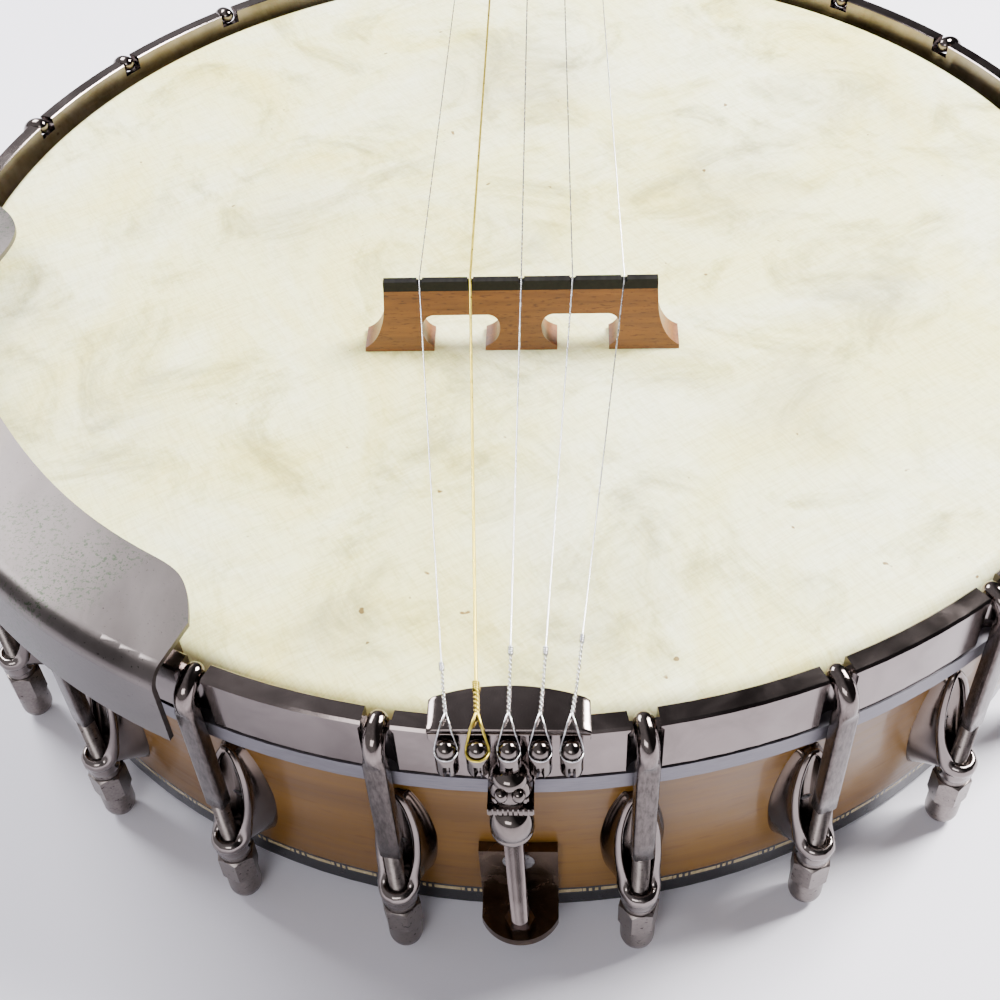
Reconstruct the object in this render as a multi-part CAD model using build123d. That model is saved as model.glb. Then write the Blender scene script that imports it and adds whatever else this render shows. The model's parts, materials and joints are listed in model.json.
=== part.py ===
from build123d import *
import os
from math import atan, cos, degrees, radians, sin, sqrt

# Open-back five-string banjo, in millimetres.
# The origin is on the axis of the pot, in the plane that the closed ends of the bracket nuts
# stand on. +Z goes up through the head and +Y runs along the neck to the peghead.

os.makedirs("parts", exist_ok=True)

# ---------------------------------------------------------------- driving dimensions
# Pot
rim_outer_radius = 138.5
rim_wall = 14.0
rim_bottom_z = 2.2
binding_height = 4.1
binding_thickness = 2.0
purfling_height = 2.4
purfling_thickness = 1.0
tone_rod_radius = 3.175
tone_ring_inset = 0.7
tone_groove_depth = 0.28
head_top_z = 71.0
head_thickness = 0.4
head_skirt_gap = 0.5
flesh_hoop_wall = 5.3
flesh_hoop_height = 4.3
hoop_gap = 1.9
hoop_wall = 4.0
hoop_height = 13.7
hoop_above_head = 3.9
seat_clearance = 0.02

# Brackets: hooks, shoes and closed nuts
brackets_per_side = 12
first_bracket_angle = 9.4
bracket_angle_step = 14.54
notch_width = 5.4
scoop_width = 6.6
scoop_depth = 2.4
scoop_shoulder = 1.6
notch_floor_below_top = 3.6
hook_rod_radius = 2.0
hook_thread_radius = 1.9
hook_thread_top = 32.0
hook_clearance = 0.15
hook_bend_radius = 4.0
nut_dome_radius = 3.55
nut_hex_flats = 7.2
nut_shaft_length = 5.4
nut_hex_length = 7.6
nut_collar_length = 1.4
nut_bore_bottom = 1.2
thread_clearance = 0.03
shoe_ring_radius = 3.9
shoe_ring_height = 5.6
shoe_top_z = 45.0
shoe_bottom_z = 13.0
shoe_half_width = 6.5
shoe_wing_z = 26.0
shoe_bolt_z = 29.0
shoe_bolt_radius = 2.0
shoe_bolt_grip = 3.2
shoe_bolt_head_radius = 3.7
shoe_bolt_head_height = 2.8
shoe_washer_radius = 4.6
shoe_washer_thickness = 1.0
hole_clearance = 0.2

# Armrest
armrest_above_hoop = 5.1
armrest_thickness = 1.2
armrest_bend_radius = 4.2
armrest_skirt_gap = 5.0
armrest_skirt_depth = 19.5
armrest_start_angle = 25.0
armrest_end_angle = 95.0
armrest_clamp_width = 7.0
armrest_clamp_lip = 1.6

# Tailpiece and its hanger
tail_plate_above_hoop = 5.1
tail_plate_thickness = 2.4
tail_plate_half_width = 14.0
tail_plate_front = 7.2
tail_plate_crown = 2.6
tail_apron_gap = 0.4
tail_apron_thickness = 1.8
tail_post_radius = 2.05
tail_post_pitch = 5.35
tail_post_bottom_below_plate = 10.2
tail_post_top_below_plate = 2.2
tail_stem_half_width = 4.2
tail_ledge_below_plate = 18.4
tail_cup_radius = 4.1
tail_cup_below_plate = 23.0
hanger_radius = 1.85
hanger_foot_reach = 6.9
hanger_bottom_z = 3.0
hanger_nut_flats = 5.4
hanger_nut_height = 2.7
bracket_half_width = 7.85
bracket_thickness = 2.1
bracket_top_z = 28.0
bracket_shelf_z = 6.6
bracket_shelf_reach = 11.4
bracket_shelf_side_reach = 6.4

# Bridge and strings
bridge_y = -34.4
bridge_height = 15.9
bridge_cap_height = 2.1
bridge_top_half_length = 30.2
bridge_foot_half_length = 35.2
bridge_top_back = 0.9
bridge_top_front = 0.8
bridge_foot_back = 5.6
bridge_foot_front = 1.9
bridge_float = 0.05
bridge_string_pitch = 11.25
string_slot_depth = 0.5
string_slot_width = 1.2
string_lift = 0.3
string_radii = [0.125, 0.15, 0.18, 0.28, 0.125]
string_bend_radius = 8.0

# Neck
scale_length = 667.0
fret_count_limit = 22
board_height_at_bridge = 9.3
neck_pitch = 0.69
board_thickness = 6.0
board_end_margin = 0.6
nut_half_width = 15.9
fifth_step_width = 4.8
fifth_step_run = 5.0
fifth_step_beyond_fret = 5.5
heel_half_width = 23.0
neck_depth_at_nut = 14.5
neck_depth_at_heel = 19.0
heel_bottom_z = 10.0
heel_cap_thickness = 2.5
string_nut_length = 4.5
string_nut_above_board = 1.7
string_nut_spacing = 8.0
fret_crown_width = 2.2
fret_crown_height = 1.0
fret_tang_width = 0.6
fret_tang_depth = 1.6
marker_radius = 3.0
marker_depth = 1.2
fifth_pip_radius = 1.8
fifth_pip_height = 2.4
fifth_pip_beyond_fret = 4.0
fifth_pip_inset = 3.0
fifth_pip_tenon_radius = 0.9
fifth_pip_back_slope = 32.0
truss_rod_width = 6.0
truss_rod_depth = 8.0
peghead_pitch = 10.0
peghead_thickness = 13.5
peghead_length = 170.0
overlay_thickness = 1.8

# Rod and bolts inside the pot
lower_bolt_z = 24.0
upper_bolt_z = 46.0
lag_bolt_radius = 3.0
lag_bolt_embed = 20.0
rod_radius = 3.2
rod_sleeve_flats = 10.0
rod_sleeve_length = 22.0
rod_nut_flats = 10.0
rod_nut_height = 5.0
rod_washer_radius = 7.5
rod_washer_thickness = 1.2

# Friction pegs
peg_shaft_radius = 3.2
peg_running_clearance = 0.06
peg_post_height = 15.0
peg_string_height = 7.5
peg_rows = [58.0, 112.0]
peg_row_half_spacing = [20.0, 18.0]
peg_bushing_radius = 4.6
peg_flange_radius = 6.4
peg_flange_thickness = 1.2
peg_collar_radius = 6.2
peg_collar_length = 6.0
peg_stem_radius = 4.2
peg_stem_length = 4.5
peg_button_half_width = 10.5
peg_button_half_height = 8.5
peg_button_thickness = 6.5
peg_screw_radius = 1.3
peg_screw_head_radius = 2.8
peg_screw_head_height = 1.0
fifth_peg_beyond_fret = 28.0
fifth_peg_below_board = 12.5
fifth_peg_bushing_depth = 11.0

# ---------------------------------------------------------------- positions that follow
rim_inner_radius = rim_outer_radius - rim_wall
tone_ring_radius = rim_outer_radius - tone_ring_inset - tone_rod_radius
tone_ring_z = head_top_z - head_thickness - seat_clearance - tone_rod_radius
rim_top_z = tone_ring_z - tone_rod_radius + tone_groove_depth
skirt_outer_radius = rim_outer_radius + head_skirt_gap + head_thickness
hoop_inner_radius = rim_outer_radius + hoop_gap
hoop_outer_radius = hoop_inner_radius + hoop_wall
hoop_top_z = head_top_z + hoop_above_head
hoop_bottom_z = hoop_top_z - hoop_height
flesh_hoop_bottom_z = hoop_bottom_z - flesh_hoop_height
notch_floor_z = hoop_top_z - notch_floor_below_top
armrest_top_z = hoop_top_z + armrest_above_hoop
armrest_skirt_bottom_z = armrest_top_z - armrest_skirt_depth
tail_plate_top_z = hoop_top_z + tail_plate_above_hoop
tail_post_bottom_z = tail_plate_top_z - tail_post_bottom_below_plate
tail_post_top_z = tail_plate_top_z - tail_post_top_below_plate
tail_ledge_z = tail_plate_top_z - tail_ledge_below_plate
tail_cup_z = tail_plate_top_z - tail_cup_below_plate

flesh_hoop_outer_radius = skirt_outer_radius + flesh_hoop_wall
hook_axis_radius = flesh_hoop_outer_radius + hook_clearance + hook_rod_radius
hook_over_z = notch_floor_z + hook_rod_radius + hook_clearance
hook_frame = Pos(0, hook_axis_radius, nut_dome_radius)
nut_top = nut_shaft_length + nut_hex_length + nut_collar_length
bracket_angles = []
for side in (-1, 1):
    for place in range(brackets_per_side):
        bracket_angles.append(side * (first_bracket_angle + place * bracket_angle_step))

bridge_top_z = head_top_z + bridge_float + bridge_height
board_frame = Pos(0, bridge_y, head_top_z + board_height_at_bridge) * Rot(-neck_pitch, 0, 0)
fifth_fret = scale_length * 2 ** (-5 / 12)
fifth_step_u = fifth_fret + fifth_step_beyond_fret
board_end_radius = hoop_outer_radius + board_end_margin
heel_end = board_end_radius - bridge_y
peghead_frame = (
    board_frame
    * Pos(0, scale_length + string_nut_length, -board_thickness)
    * Rot(-peghead_pitch, 0, 0)
)
apron_back = hoop_outer_radius + tail_apron_gap + tail_apron_thickness
tail_post_radius_from_axis = apron_back + tail_post_radius - 0.3

UPRIGHT = (Align.CENTER, Align.CENTER, Align.MIN)


# ---------------------------------------------------------------- helpers
def pillar(radius, bottom, top):
    """An upright cylinder on the local Z axis between two heights."""
    return Pos(0, 0, bottom) * Cylinder(radius, top - bottom, align=UPRIGHT)


def ring(outer, inner, bottom, top):
    """A plain upright ring on the local Z axis."""
    return pillar(outer, bottom, top) - pillar(inner, bottom, top)


def hexagon(flats, bottom, top):
    """An upright hexagonal prism, given across its flats."""
    corner_radius = flats / 2 / cos(radians(30))
    return Pos(0, 0, bottom) * extrude(RegularPolygon(corner_radius, 6), top - bottom)


def block(x_range, y_range, z_range):
    """A box between two values on each axis."""
    size = [high - low for low, high in (x_range, y_range, z_range)]
    middle = [(high + low) / 2 for low, high in (x_range, y_range, z_range)]
    return Pos(*middle) * Box(*size)


def along_y(solid):
    """Turns a solid built on the Z axis so that its axis runs along +Y."""
    return Rot(-90, 0, 0) * solid


def around_pot(solid, angle):
    """Puts a solid built at +Y at an angle from the tail, positive towards +X."""
    return Rot(0, 0, 180 + angle) * solid


def side_profile(points, half_width):
    """Extrudes an outline of (y, z) points along X, both ways."""
    face = Plane.YZ * make_face(Polyline(*points, close=True))
    return extrude(face, half_width, both=True)


def radial_profile(edges, y_range):
    """Extrudes an outline drawn in X and Z along Y, between two values of Y."""
    face = Plane.XZ * make_face(edges)
    return Pos(0, y_range[1], 0) * extrude(face, y_range[1] - y_range[0])


def group(pieces):
    """Separate solids kept together in one node."""
    return Compound([solid for piece in pieces for solid in piece.solids()])


def save(name, shape):
    export_step(shape, f"parts/{name}.step")


def place_of(frame, x, y, z):
    """The point at local (x, y, z) of a frame."""
    return (frame * Pos(x, y, z)).position


def round_wire(points, radius, bend_radius):
    """A round wire along straight runs joined by tangent arcs."""
    path = FilletPolyline(*points, radius=bend_radius)
    section = Plane(origin=path @ 0, z_dir=path % 0) * Circle(radius)
    return sweep(section, path=path)


# ---------------------------------------------------------------- rim and its trim
binding_top_z = rim_bottom_z + binding_height
purfling_top_z = binding_top_z + purfling_height


def make_rim():
    rim = ring(rim_outer_radius, rim_inner_radius, rim_bottom_z, rim_top_z)
    rim -= ring(
        rim_outer_radius + 1, rim_outer_radius - binding_thickness, rim_bottom_z, binding_top_z
    )
    rim -= ring(
        rim_outer_radius + 1, rim_outer_radius - purfling_thickness, binding_top_z, purfling_top_z
    )
    rim -= Pos(0, 0, tone_ring_z) * Torus(tone_ring_radius, tone_rod_radius + seat_clearance)
    drill = Pos(0, rim_inner_radius - 2, shoe_bolt_z) * along_y(
        pillar(shoe_bolt_radius + hole_clearance, 0, rim_wall + 4)
    )
    rim -= [around_pot(drill, angle) for angle in bracket_angles]
    for height in (lower_bolt_z, upper_bolt_z):
        rim -= Pos(0, rim_inner_radius - 2, height) * along_y(
            pillar(lag_bolt_radius + hole_clearance, 0, rim_wall + 4)
        )
    rim -= Pos(0, -rim_outer_radius - 2, lower_bolt_z) * along_y(
        pillar(rod_radius + hole_clearance, 0, rim_wall + 4)
    )
    return rim


def make_rim_binding():
    return ring(
        rim_outer_radius, rim_outer_radius - binding_thickness, rim_bottom_z, binding_top_z
    )


def make_rim_purfling():
    return ring(
        rim_outer_radius, rim_outer_radius - purfling_thickness, binding_top_z, purfling_top_z
    )


# ---------------------------------------------------------------- head and hoops
def make_tone_ring():
    return Pos(0, 0, tone_ring_z) * Torus(tone_ring_radius, tone_rod_radius)


def head_edge_line(offset, start_radius):
    """The head's section from its centre over the tone ring to the flesh hoop."""
    crown = tone_rod_radius + seat_clearance + head_thickness - offset
    diagonal = crown * sqrt(0.5)
    skirt = skirt_outer_radius - seat_clearance - offset
    flat = Line((start_radius, head_top_z - offset), (tone_ring_radius, head_top_z - offset))
    bend = ThreePointArc(
        (tone_ring_radius, head_top_z - offset),
        (tone_ring_radius + diagonal, tone_ring_z + diagonal),
        (tone_ring_radius + crown, tone_ring_z),
    )
    skirt_line = Polyline(
        (tone_ring_radius + crown, tone_ring_z),
        (skirt - 0.2, rim_top_z + 0.1),
        (skirt, hoop_bottom_z),
        (skirt, flesh_hoop_bottom_z + head_thickness),
    )
    return flat, bend, skirt_line


def make_head():
    outer_flat, outer_bend, outer_skirt = head_edge_line(0, 0)
    inner_flat, inner_bend, inner_skirt = head_edge_line(head_thickness, 0)
    hem = Line(outer_skirt @ 1, inner_skirt @ 1)
    axis_side = Line(outer_flat @ 0, inner_flat @ 0)
    edges = [outer_flat, outer_bend, outer_skirt, hem, inner_skirt, inner_bend, inner_flat]
    face = Plane.XZ * make_face(edges + [axis_side])
    return revolve(face, Axis.Z)


def make_flesh_hoop():
    return ring(
        skirt_outer_radius + flesh_hoop_wall,
        skirt_outer_radius + seat_clearance,
        flesh_hoop_bottom_z,
        hoop_bottom_z,
    )


def notch_cutter():
    """Room for one hook: a slot through the top and a rounded scoop down the outer face."""
    scoop_radius = ((scoop_width / 2) ** 2 + scoop_depth ** 2) / (2 * scoop_depth)
    shoulder_z = hoop_top_z - scoop_shoulder
    scoop = pillar(scoop_radius, hoop_bottom_z - 1, shoulder_z)
    scoop += Pos(0, 0, shoulder_z) * Cone(
        scoop_radius, scoop_radius - scoop_depth, scoop_shoulder + 2, align=UPRIGHT
    )
    half = notch_width / 2
    slot = block(
        (-half, half),
        (hoop_inner_radius - 1, hoop_outer_radius + 1),
        (notch_floor_z, hoop_top_z + 1),
    )
    return Pos(0, hoop_outer_radius - scoop_depth + scoop_radius, 0) * scoop + slot


def make_tension_hoop():
    bevel = 0.5
    outline = Polyline(
        (hoop_inner_radius, hoop_bottom_z),
        (hoop_outer_radius, hoop_bottom_z),
        (hoop_outer_radius, hoop_top_z - bevel),
        (hoop_outer_radius - bevel, hoop_top_z),
        (hoop_inner_radius + bevel / 2, hoop_top_z),
        (hoop_inner_radius, hoop_top_z - bevel / 2),
        close=True,
    )
    hoop = revolve(Plane.XZ * make_face(outline), Axis.Z)
    cutter = notch_cutter()
    return hoop - [around_pot(cutter, angle) for angle in bracket_angles]


# ---------------------------------------------------------------- brackets
def make_hook():
    """An upright round rod with a threaded foot, bent over the wall of the hoop."""
    end_y = hoop_inner_radius + hook_rod_radius
    path = FilletPolyline(
        (0, hook_axis_radius, nut_dome_radius + hook_thread_top),
        (0, hook_axis_radius, hook_over_z),
        (0, end_y, hook_over_z),
        radius=hook_bend_radius,
    )
    section = Plane(origin=path @ 0, z_dir=path % 0) * Circle(hook_rod_radius)
    thread = hook_frame * pillar(hook_thread_radius, nut_bore_bottom + 0.6, hook_thread_top)
    rounded_end = Pos(0, end_y, hook_over_z) * Sphere(hook_rod_radius)
    return sweep(section, path=path) + rounded_end + thread


def make_nut():
    """A closed nut: a domed foot, a hexagon and a short collar, bored from the top."""
    dome_shape = pillar(nut_dome_radius, 0, nut_shaft_length) + Sphere(nut_dome_radius)
    corner = nut_hex_flats / 2 / cos(radians(30))
    hex_top = nut_shaft_length + nut_hex_length
    bevel = corner - nut_dome_radius
    limits = Polyline(
        (0, nut_shaft_length),
        (nut_dome_radius, nut_shaft_length),
        (corner, nut_shaft_length + bevel),
        (corner, hex_top - bevel),
        (nut_dome_radius, hex_top),
        (0, hex_top),
        close=True,
    )
    hexed = hexagon(nut_hex_flats, nut_shaft_length, hex_top)
    hexed &= revolve(Plane.XZ * make_face(limits), Axis.Z)
    collar = pillar(nut_dome_radius - 0.2, hex_top, nut_top)
    nut = dome_shape + hexed + collar
    nut -= pillar(hook_thread_radius + thread_clearance, nut_bore_bottom, nut_top + 1)
    return hook_frame * nut


def make_shoe():
    """A horn-shaped shoe: a winged base on the rim and a ring that the hook passes through."""
    surface = rim_outer_radius
    ring_bottom = nut_top + 0.2
    ring_top = ring_bottom + shoe_ring_height
    horn = side_profile(
        [
            (surface - 1, shoe_top_z),
            (surface + 0.6, shoe_top_z),
            (surface + 2.6, shoe_top_z - 4),
            (surface + 4.4, shoe_top_z - 12),
            (hook_axis_radius - 0.8, nut_dome_radius + ring_top),
            (hook_axis_radius - 0.8, nut_dome_radius + ring_bottom + 0.3),
            (surface + 2.6, shoe_bottom_z + 0.6),
            (surface - 1, shoe_bottom_z),
        ],
        shoe_ring_radius - 0.5,
    )
    wings = radial_profile(
        Polyline(
            (0, shoe_top_z),
            (shoe_half_width, shoe_wing_z),
            (shoe_ring_radius - 0.4, shoe_bottom_z),
            (-shoe_ring_radius + 0.4, shoe_bottom_z),
            (-shoe_half_width, shoe_wing_z),
            close=True,
        ),
        (surface - 1, surface + 2.4),
    )
    shoe = horn + wings
    shoe += hook_frame * pillar(shoe_ring_radius, ring_bottom, ring_top)
    shoe -= pillar(surface + seat_clearance, 0, hoop_top_z)
    shoe -= hook_frame * pillar(hook_rod_radius + 0.5, -1, shoe_top_z)
    shoe -= hook_frame * pillar(nut_dome_radius + 0.9, -1, ring_bottom)
    shoe -= Pos(0, surface - 1, shoe_bolt_z) * along_y(
        pillar(shoe_bolt_radius, 0, 1 + shoe_bolt_grip)
    )
    return shoe


washer_face = sqrt(rim_inner_radius ** 2 - shoe_washer_radius ** 2) - seat_clearance


def make_shoe_bolt():
    head_seat = washer_face - shoe_washer_thickness
    shank = pillar(
        shoe_bolt_radius - thread_clearance,
        head_seat,
        rim_outer_radius + shoe_bolt_grip - 0.3,
    )
    head = hexagon(
        shoe_bolt_head_radius * 2 * cos(radians(30)), head_seat - shoe_bolt_head_height, head_seat
    )
    return Pos(0, 0, shoe_bolt_z) * along_y(shank + head)


def make_shoe_washer():
    washer = ring(
        shoe_washer_radius,
        shoe_bolt_radius + hole_clearance,
        washer_face - shoe_washer_thickness,
        washer_face,
    )
    return Pos(0, 0, shoe_bolt_z) * along_y(washer)


# ---------------------------------------------------------------- armrest
# Inner edge of the top plate: angle from the tail towards -X, and distance in from the hoop.
armrest_inner_edge = [
    (25.4, 7.4), (26.4, 10.6), (29.0, 15.6), (33.0, 16.6), (45.0, 16.0), (58.0, 15.2),
    (70.0, 13.4), (79.0, 15.6), (84.5, 20.4), (88.0, 21.2), (91.5, 17.0), (93.8, 9.0),
]


def polar(angle, radius):
    """A point at an angle from the tail, positive towards -X."""
    return (-radius * sin(radians(angle)), -radius * cos(radians(angle)))


def make_armrest():
    outer = hoop_outer_radius + armrest_skirt_gap + armrest_thickness
    inner = hoop_inner_radius - 25
    bend = armrest_bend_radius
    tight = bend - armrest_thickness
    top = armrest_top_z
    low = top - armrest_thickness
    half = sqrt(0.5)
    edges = [
        Line((inner, top), (outer - bend, top)),
        ThreePointArc((outer - bend, top),
                      (outer - bend + bend * half, top - bend + bend * half),
                      (outer, top - bend)),
        Polyline((outer, top - bend), (outer, armrest_skirt_bottom_z),
                 (outer - armrest_thickness, armrest_skirt_bottom_z),
                 (outer - armrest_thickness, top - bend)),
        ThreePointArc((outer - armrest_thickness, top - bend),
                      (outer - bend + tight * half, top - bend + tight * half),
                      (outer - bend, low)),
        Polyline((outer - bend, low), (inner, low), (inner, top)),
    ]
    shell = revolve(Plane.XZ * make_face(edges), Axis.Z)
    points = [polar(angle, hoop_outer_radius - inset) for angle, inset in armrest_inner_edge]
    start = polar(armrest_start_angle, outer + 2)
    end = polar(armrest_end_angle, outer + 2)
    middle = polar((armrest_start_angle + armrest_end_angle) / 2, outer + 2)
    outline = [
        Spline(*points),
        Line(points[-1], end),
        ThreePointArc(end, middle, start),
        Line(start, points[0]),
    ]
    column = Pos(0, 0, armrest_skirt_bottom_z - 1) * extrude(
        make_face(outline), armrest_top_z - armrest_skirt_bottom_z + 2
    )
    return shell & column


def make_armrest_clamp(angle):
    """A clip that stands on the hoop under the armrest and hooks over its inner edge."""
    half = armrest_clamp_width / 2
    under = armrest_top_z - armrest_thickness
    inner = hoop_inner_radius - seat_clearance
    outer = hoop_outer_radius + armrest_skirt_gap
    post = block((-half, half), (inner - armrest_clamp_lip, hoop_outer_radius - 0.5),
                 (hoop_top_z + seat_clearance, under))
    arm_end = outer + armrest_thickness - armrest_bend_radius - 0.2
    arm = block((-half, half), (hoop_outer_radius - 1, arm_end), (under - 1.5, under))
    lip = block((-half, half), (inner - armrest_clamp_lip, inner),
                (notch_floor_z, hoop_top_z + 1))
    clamp = post + arm + lip
    clamp -= ring(hoop_outer_radius + 1, hoop_inner_radius - seat_clearance, 0,
                  hoop_top_z + seat_clearance)
    return around_pot(clamp, -angle)


# ---------------------------------------------------------------- tailpiece
post_places = [(2 - index) * tail_post_pitch for index in range(5)]
hanger_top = tail_post_radius_from_axis + 2.3
hanger_foot = rim_outer_radius + hanger_foot_reach
hanger_lean = degrees(atan((hanger_top - hanger_foot) / (tail_cup_z - hanger_bottom_z)))
hanger_frame = Pos(0, -hanger_foot, hanger_bottom_z) * Rot(hanger_lean, 0, 0)


def make_tailpiece():
    """A cover plate over the hoop, an apron down its face, five posts and a cup below."""
    back = -apron_back
    front = -(hoop_outer_radius - tail_plate_front)
    half = tail_plate_half_width
    plate_edges = [
        ThreePointArc((-half + 0.3, front - tail_plate_crown), (0, front),
                      (half - 0.3, front - tail_plate_crown)),
        Polyline((half - 0.3, front - tail_plate_crown), (half, back), (-half, back),
                 (-half + 0.3, front - tail_plate_crown)),
    ]
    bottom = tail_plate_top_z - tail_plate_thickness
    body = Pos(0, 0, bottom) * extrude(make_face(plate_edges), tail_plate_thickness)
    stem = tail_stem_half_width
    apron = Polyline(
        (-half, tail_plate_top_z),
        (half, tail_plate_top_z),
        (half, tail_plate_top_z - 3.5),
        (half - 2.5, tail_post_bottom_z),
        (stem, tail_ledge_z + 2.4),
        (stem, tail_ledge_z),
        (-stem, tail_ledge_z),
        (-stem, tail_ledge_z + 2.4),
        (-half + 2.5, tail_post_bottom_z),
        (-half, tail_plate_top_z - 3.5),
        close=True,
    )
    body += radial_profile(apron, (back, back + tail_apron_thickness))
    for place in post_places:
        shaft = pillar(tail_post_radius, tail_post_bottom_z, tail_post_top_z - tail_post_radius)
        tip = Pos(0, 0, tail_post_top_z - tail_post_radius) * Sphere(tail_post_radius)
        body += Pos(place, -tail_post_radius_from_axis, 0) * (shaft + tip)
    boss_radius = stem - 0.2
    body += Pos(0, back - 1, 0) * pillar(boss_radius, tail_ledge_z, tail_post_bottom_z + 1)
    body += block((-stem, stem), (-hanger_top - 1.0, back + 1),
                  (tail_ledge_z - 0.2, tail_ledge_z + 1.6))
    body += Pos(0, -hanger_top, 0) * pillar(tail_cup_radius, tail_cup_z, tail_ledge_z)
    body += Pos(0, -hanger_top, tail_cup_z) * Sphere(tail_cup_radius)
    body -= hanger_frame * pillar(hanger_radius + thread_clearance, 0, tail_cup_z)
    return body - pillar(hoop_outer_radius + tail_apron_gap - 0.1, 0, tail_plate_top_z - 3)


def make_hanger_bolt():
    return hanger_frame * pillar(hanger_radius, 0, tail_cup_z - hanger_bottom_z - 0.6)


def make_hanger_nuts():
    lean = radians(abs(hanger_lean))
    tilt_gap = hanger_nut_flats / sqrt(3) * sin(lean) + seat_clearance
    low = (bracket_shelf_z - hanger_bottom_z) / cos(lean) - tilt_gap
    high = low + bracket_thickness / cos(lean) + 2 * tilt_gap
    bore = pillar(hanger_radius + thread_clearance, -5, 20)
    lower = hexagon(hanger_nut_flats, low - hanger_nut_height, low) - bore
    upper = hexagon(hanger_nut_flats, high, high + hanger_nut_height) - bore
    return group([hanger_frame * lower, hanger_frame * upper])


def make_tailpiece_bracket():
    """An angle bracket: a plate on the rim and a shelf with a rounded front."""
    face = -(rim_outer_radius + bracket_thickness)
    half = bracket_half_width
    plate = block((-half, half), (face, -rim_outer_radius + 3), (bracket_shelf_z, bracket_top_z))
    shelf_front = -(rim_outer_radius + bracket_shelf_reach)
    shelf_side = -(rim_outer_radius + bracket_shelf_side_reach)
    outline = [
        ThreePointArc((-half, shelf_side), (0, shelf_front), (half, shelf_side)),
        Polyline((half, shelf_side), (half, face + 1), (-half, face + 1), (-half, shelf_side)),
    ]
    shelf = Pos(0, 0, bracket_shelf_z) * extrude(make_face(outline), bracket_thickness)
    bracket = plate + shelf
    bracket -= pillar(rim_outer_radius + seat_clearance, 0, hoop_top_z)
    bracket -= hanger_frame * pillar(hanger_radius + hole_clearance, -2, 20)
    bracket -= Pos(0, face - 1, lower_bolt_z) * along_y(
        pillar(rod_radius + thread_clearance, 0, bracket_thickness + 3)
    )
    return bracket


# ---------------------------------------------------------------- bridge
def bridge_wedge(bottom, top):
    """The bridge seen from its end: a thick foot and a thin top."""
    foot_z = head_top_z + bridge_float
    wedge = side_profile(
        [
            (bridge_y - bridge_foot_back, foot_z),
            (bridge_y + bridge_foot_front, foot_z),
            (bridge_y + bridge_top_front, bridge_top_z),
            (bridge_y - bridge_top_back, bridge_top_z),
        ],
        bridge_foot_half_length + 1,
    )
    reach = bridge_foot_half_length + 2
    return wedge & block((-reach, reach), (bridge_y - 20, bridge_y + 20), (bottom, top))


def make_bridge_body():
    """The wooden part of the bridge: three flared feet and two arches."""
    foot_z = head_top_z + bridge_float
    body_top = bridge_height - bridge_cap_height
    arch_top = 8.3
    arch_bend = 2.8
    spring_z = arch_top - arch_bend
    foot_lip = 0.9
    middle_foot = 8.05
    arch_inner = 4.6
    arch_outer = 22.0
    outer_foot = 19.6
    end = bridge_foot_half_length
    shoulder = bridge_top_half_length
    half = sqrt(0.5) * arch_bend

    def right_side():
        return [
            Polyline((0, 0), (middle_foot, 0), (middle_foot, foot_lip)),
            Bezier((middle_foot, foot_lip), (middle_foot - 2.0, foot_lip + 0.8),
                   (arch_inner, foot_lip + 2.0), (arch_inner, spring_z)),
            ThreePointArc((arch_inner, spring_z),
                          (arch_inner + arch_bend - half, spring_z + half),
                          (arch_inner + arch_bend, arch_top)),
            Line((arch_inner + arch_bend, arch_top), (arch_outer - arch_bend, arch_top)),
            ThreePointArc((arch_outer - arch_bend, arch_top),
                          (arch_outer - arch_bend + half, spring_z + half),
                          (arch_outer, spring_z)),
            Bezier((arch_outer, spring_z), (arch_outer, foot_lip + 2.0),
                   (outer_foot + 1.4, foot_lip + 0.8), (outer_foot, foot_lip)),
            Polyline((outer_foot, foot_lip), (outer_foot, 0), (end, 0), (end, foot_lip)),
            Bezier((end, foot_lip), (end - 2.8, foot_lip + 1.2),
                   (shoulder + 0.6, 5.4), (shoulder + 0.2, 9.5)),
            Polyline((shoulder + 0.2, 9.5), (shoulder, body_top), (0, body_top), (0, 0)),
        ]

    half_face = make_face(right_side())
    outline = Plane.XZ * (half_face + mirror(half_face, Plane.YZ))
    slab = Pos(0, bridge_y + 15, foot_z) * extrude(outline, 30)
    return slab & bridge_wedge(foot_z, foot_z + body_top)


string_places = [(2 - index) * bridge_string_pitch + 0.3 for index in range(5)]


def make_bridge_cap():
    cap = bridge_wedge(bridge_top_z - bridge_cap_height, bridge_top_z)
    half = bridge_top_half_length
    cap &= block((-half, half), (bridge_y - 20, bridge_y + 20), (head_top_z, bridge_top_z + 1))
    for place in string_places:
        width = string_slot_width / 2
        cap -= block((place - width, place + width), (bridge_y - 9, bridge_y + 9),
                     (bridge_top_z - string_slot_depth, bridge_top_z + 1))
    return cap


# ---------------------------------------------------------------- neck
def treble_edge(u):
    """Half width on the +X side, at a distance u from the bridge."""
    return nut_half_width + (heel_half_width - nut_half_width) * (scale_length - u) / (
        scale_length - heel_end)


def bass_edge(u):
    """Half width on the -X side, which steps out beside the fifth string's pip."""
    edge = nut_half_width + 0.5 * (scale_length - u) / (scale_length - fifth_step_u)
    if u <= fifth_step_u:
        step = nut_half_width + 0.5 + fifth_step_width
        run = (fifth_step_u - u) / (fifth_step_u - heel_end)
        edge = step + (heel_half_width + 0.3 - step) * run
    return edge


def board_outline(start, end):
    step_start = fifth_step_u + fifth_step_run
    points = [
        (treble_edge(start), start),
        (treble_edge(end), end),
        (-bass_edge(end), end),
        (-bass_edge(step_start), step_start),
        (-bass_edge(fifth_step_u), fifth_step_u),
        (-bass_edge(start), start),
    ]
    return make_face(Polyline(*points, close=True))


fret_places = []
for number in range(1, fret_count_limit + 1):
    fret_place = scale_length * 2 ** (-number / 12)
    if fret_place > heel_end + fret_crown_width:
        fret_places.append(fret_place)

pot_clear = pillar(board_end_radius, 0, hoop_top_z + 20)


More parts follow.
